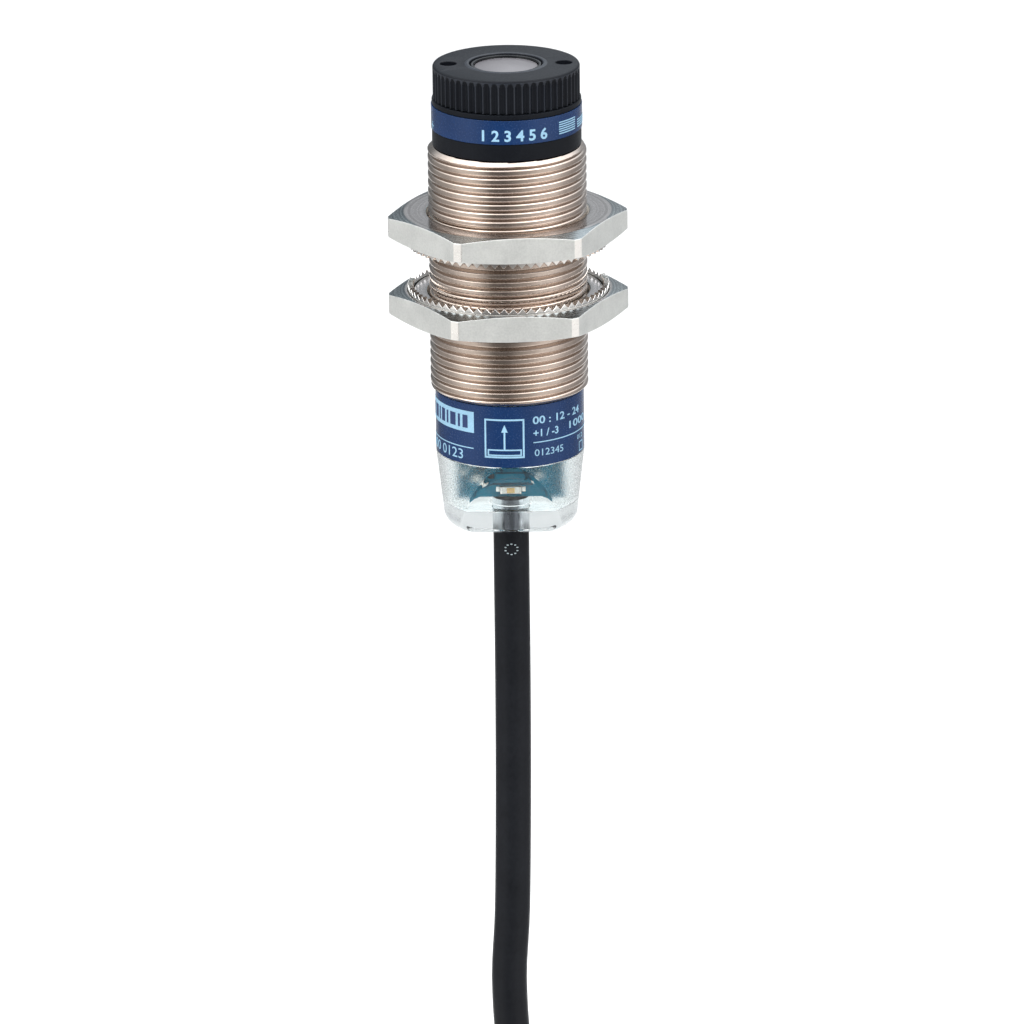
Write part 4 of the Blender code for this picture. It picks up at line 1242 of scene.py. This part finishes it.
def make_board_parts():
    """Tracks, pads and lamps where the cap shows the board. Heights start at the board's foot."""
    front, foot = low("main_board", 1), low("main_board")
    tracks = bmesh.new()
    sunk, proud, width = 0.004, 0.05, 0.28

    def run(points):
        for a, b in zip(points, points[1:]):
            a, b = Vector(a), Vector(b)
            along = (b - a).normalized() * (width / 2)
            across = Vector((-along.y, along.x))
            corners = [a - along - across, b + along - across, b + along + across, a - along + across]
            prism(tracks, corners, front - sunk, front - proud, lambda x, z, y: (x, y, foot + z))

    for lift in (0.0, 0.75):
        run([(-3.4 + lift, 1.5 + lift), (-2.6 + lift, 1.5 + lift), (2.4 - lift, 1.5 + lift),
             (3.3 - lift, 2.8 + lift), (2.6 - lift, 4.2 + lift), (-2.2 + lift, 4.2 + lift)])
    run([(-5.2, 0.8), (-5.2, 7.4), (-4.2, 8.9)])
    run([(5.2, 0.8), (5.2, 6.4), (4.2, 7.9), (4.2, 11.4)])
    run([(-1.4, 4.2), (-1.4, 8.4), (0.4, 10.2), (0.4, 13.4)])
    piece("board_tracks", tracks, "board_dark", smooth=0)
    pads = bmesh.new()
    half_x, half_z = 0.24, 0.3
    for x, rise in ((-1.45, 0.9), (1.45, 0.9), (3.3, 2.8), (-4.2, 4.2), (4.6, 4.8), (-5.2, 3.2), (1.9, 6.0),
                    (-3.9, 6.5)):
        z = foot + rise
        corners = (x - half_x, front - 0.09, z - half_z), (x + half_x, front - sunk, z + half_z)
        merge(pads, box_mesh(*corners, 0.03))
    piece("board_pads", pads, "tin", smooth=30)

    (x0, y0, z0), (x1, y1, z1) = [tuple(c / MM for c in corner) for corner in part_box("status_led")]
    lamp = box_mesh((x0, y0 + 0.12, z0), (x1, y1, z1), 0.04)
    piece("status_lamp", lamp, "ceramic", nodes=["status_led"], smooth=30)
    window = box_mesh((-0.45, y0, z0 + 0.1), (0.45, y0 + 0.3, z1 - 0.1), 0.05)
    piece("lamp_window", window, "phosphor", smooth=30)
    ends = bmesh.new()
    for side in (-1, 1):
        near, far = sorted((side * x1, side * (x1 - 0.28)))
        merge(ends, box_mesh((near, y0 + 0.1, z0 - 0.02), (far, y1, z1 + 0.02), 0.03))
    piece("lamp_ends", ends, "tin", smooth=30)
    (x0, y0, z0), (x1, y1, z1) = [tuple(c / MM for c in corner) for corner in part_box("stability_led")]
    small = box_mesh((x0, y0, z0), (x1, y1, z1), 0.08)
    piece("stability_lamp", small, "ceramic", nodes=["stability_led"], smooth=30)


def dress_nodes():
    """Materials of the CAD solids that stay."""
    kept = {
        "brass": ["aperture_stop", "diode_holder"],
        "steel": ["laser_diode", "diode_pin_left", "diode_pin_right", "diode_pin_rear"],
        "board": ["main_board"],
        "chip": ["led_resistor", "driver_chip", "regulator_chip", "protection_diode"],
        "amber": ["filter_capacitor"],
        "rubber": ["ring_seal", "collar_seal", "cap_seal"],
        "brown": ["core_brown"],
        "wire_blue": ["core_blue"],
        "violet": ["core_violet"],
    }
    for look, nodes in kept.items():
        for name in nodes:
            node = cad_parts[name]
            node.data.materials.clear()
            node.data.materials.append(LOOKS[look])


make_camera()
make_cable()
make_barrel()
make_nut("upper_nut", 1, 5.4, "front_nut_body", "front_nut")
make_nut("lower_nut", -1, 3.4, "rear_nut_body", "rear_nut")
make_tooth_ring("upper_tooth_ring", 1, "front_ring_body", "front_lock_ring")
make_tooth_ring("lower_tooth_ring", -1, "rear_ring_body", "rear_lock_ring")
make_adjusting_ring()
make_collar()
make_optics()
make_label()
make_band_marks()
make_cap()
make_crimp()
make_board_parts()
make_cable_mark()
dress_nodes()
make_room()
make_tent()
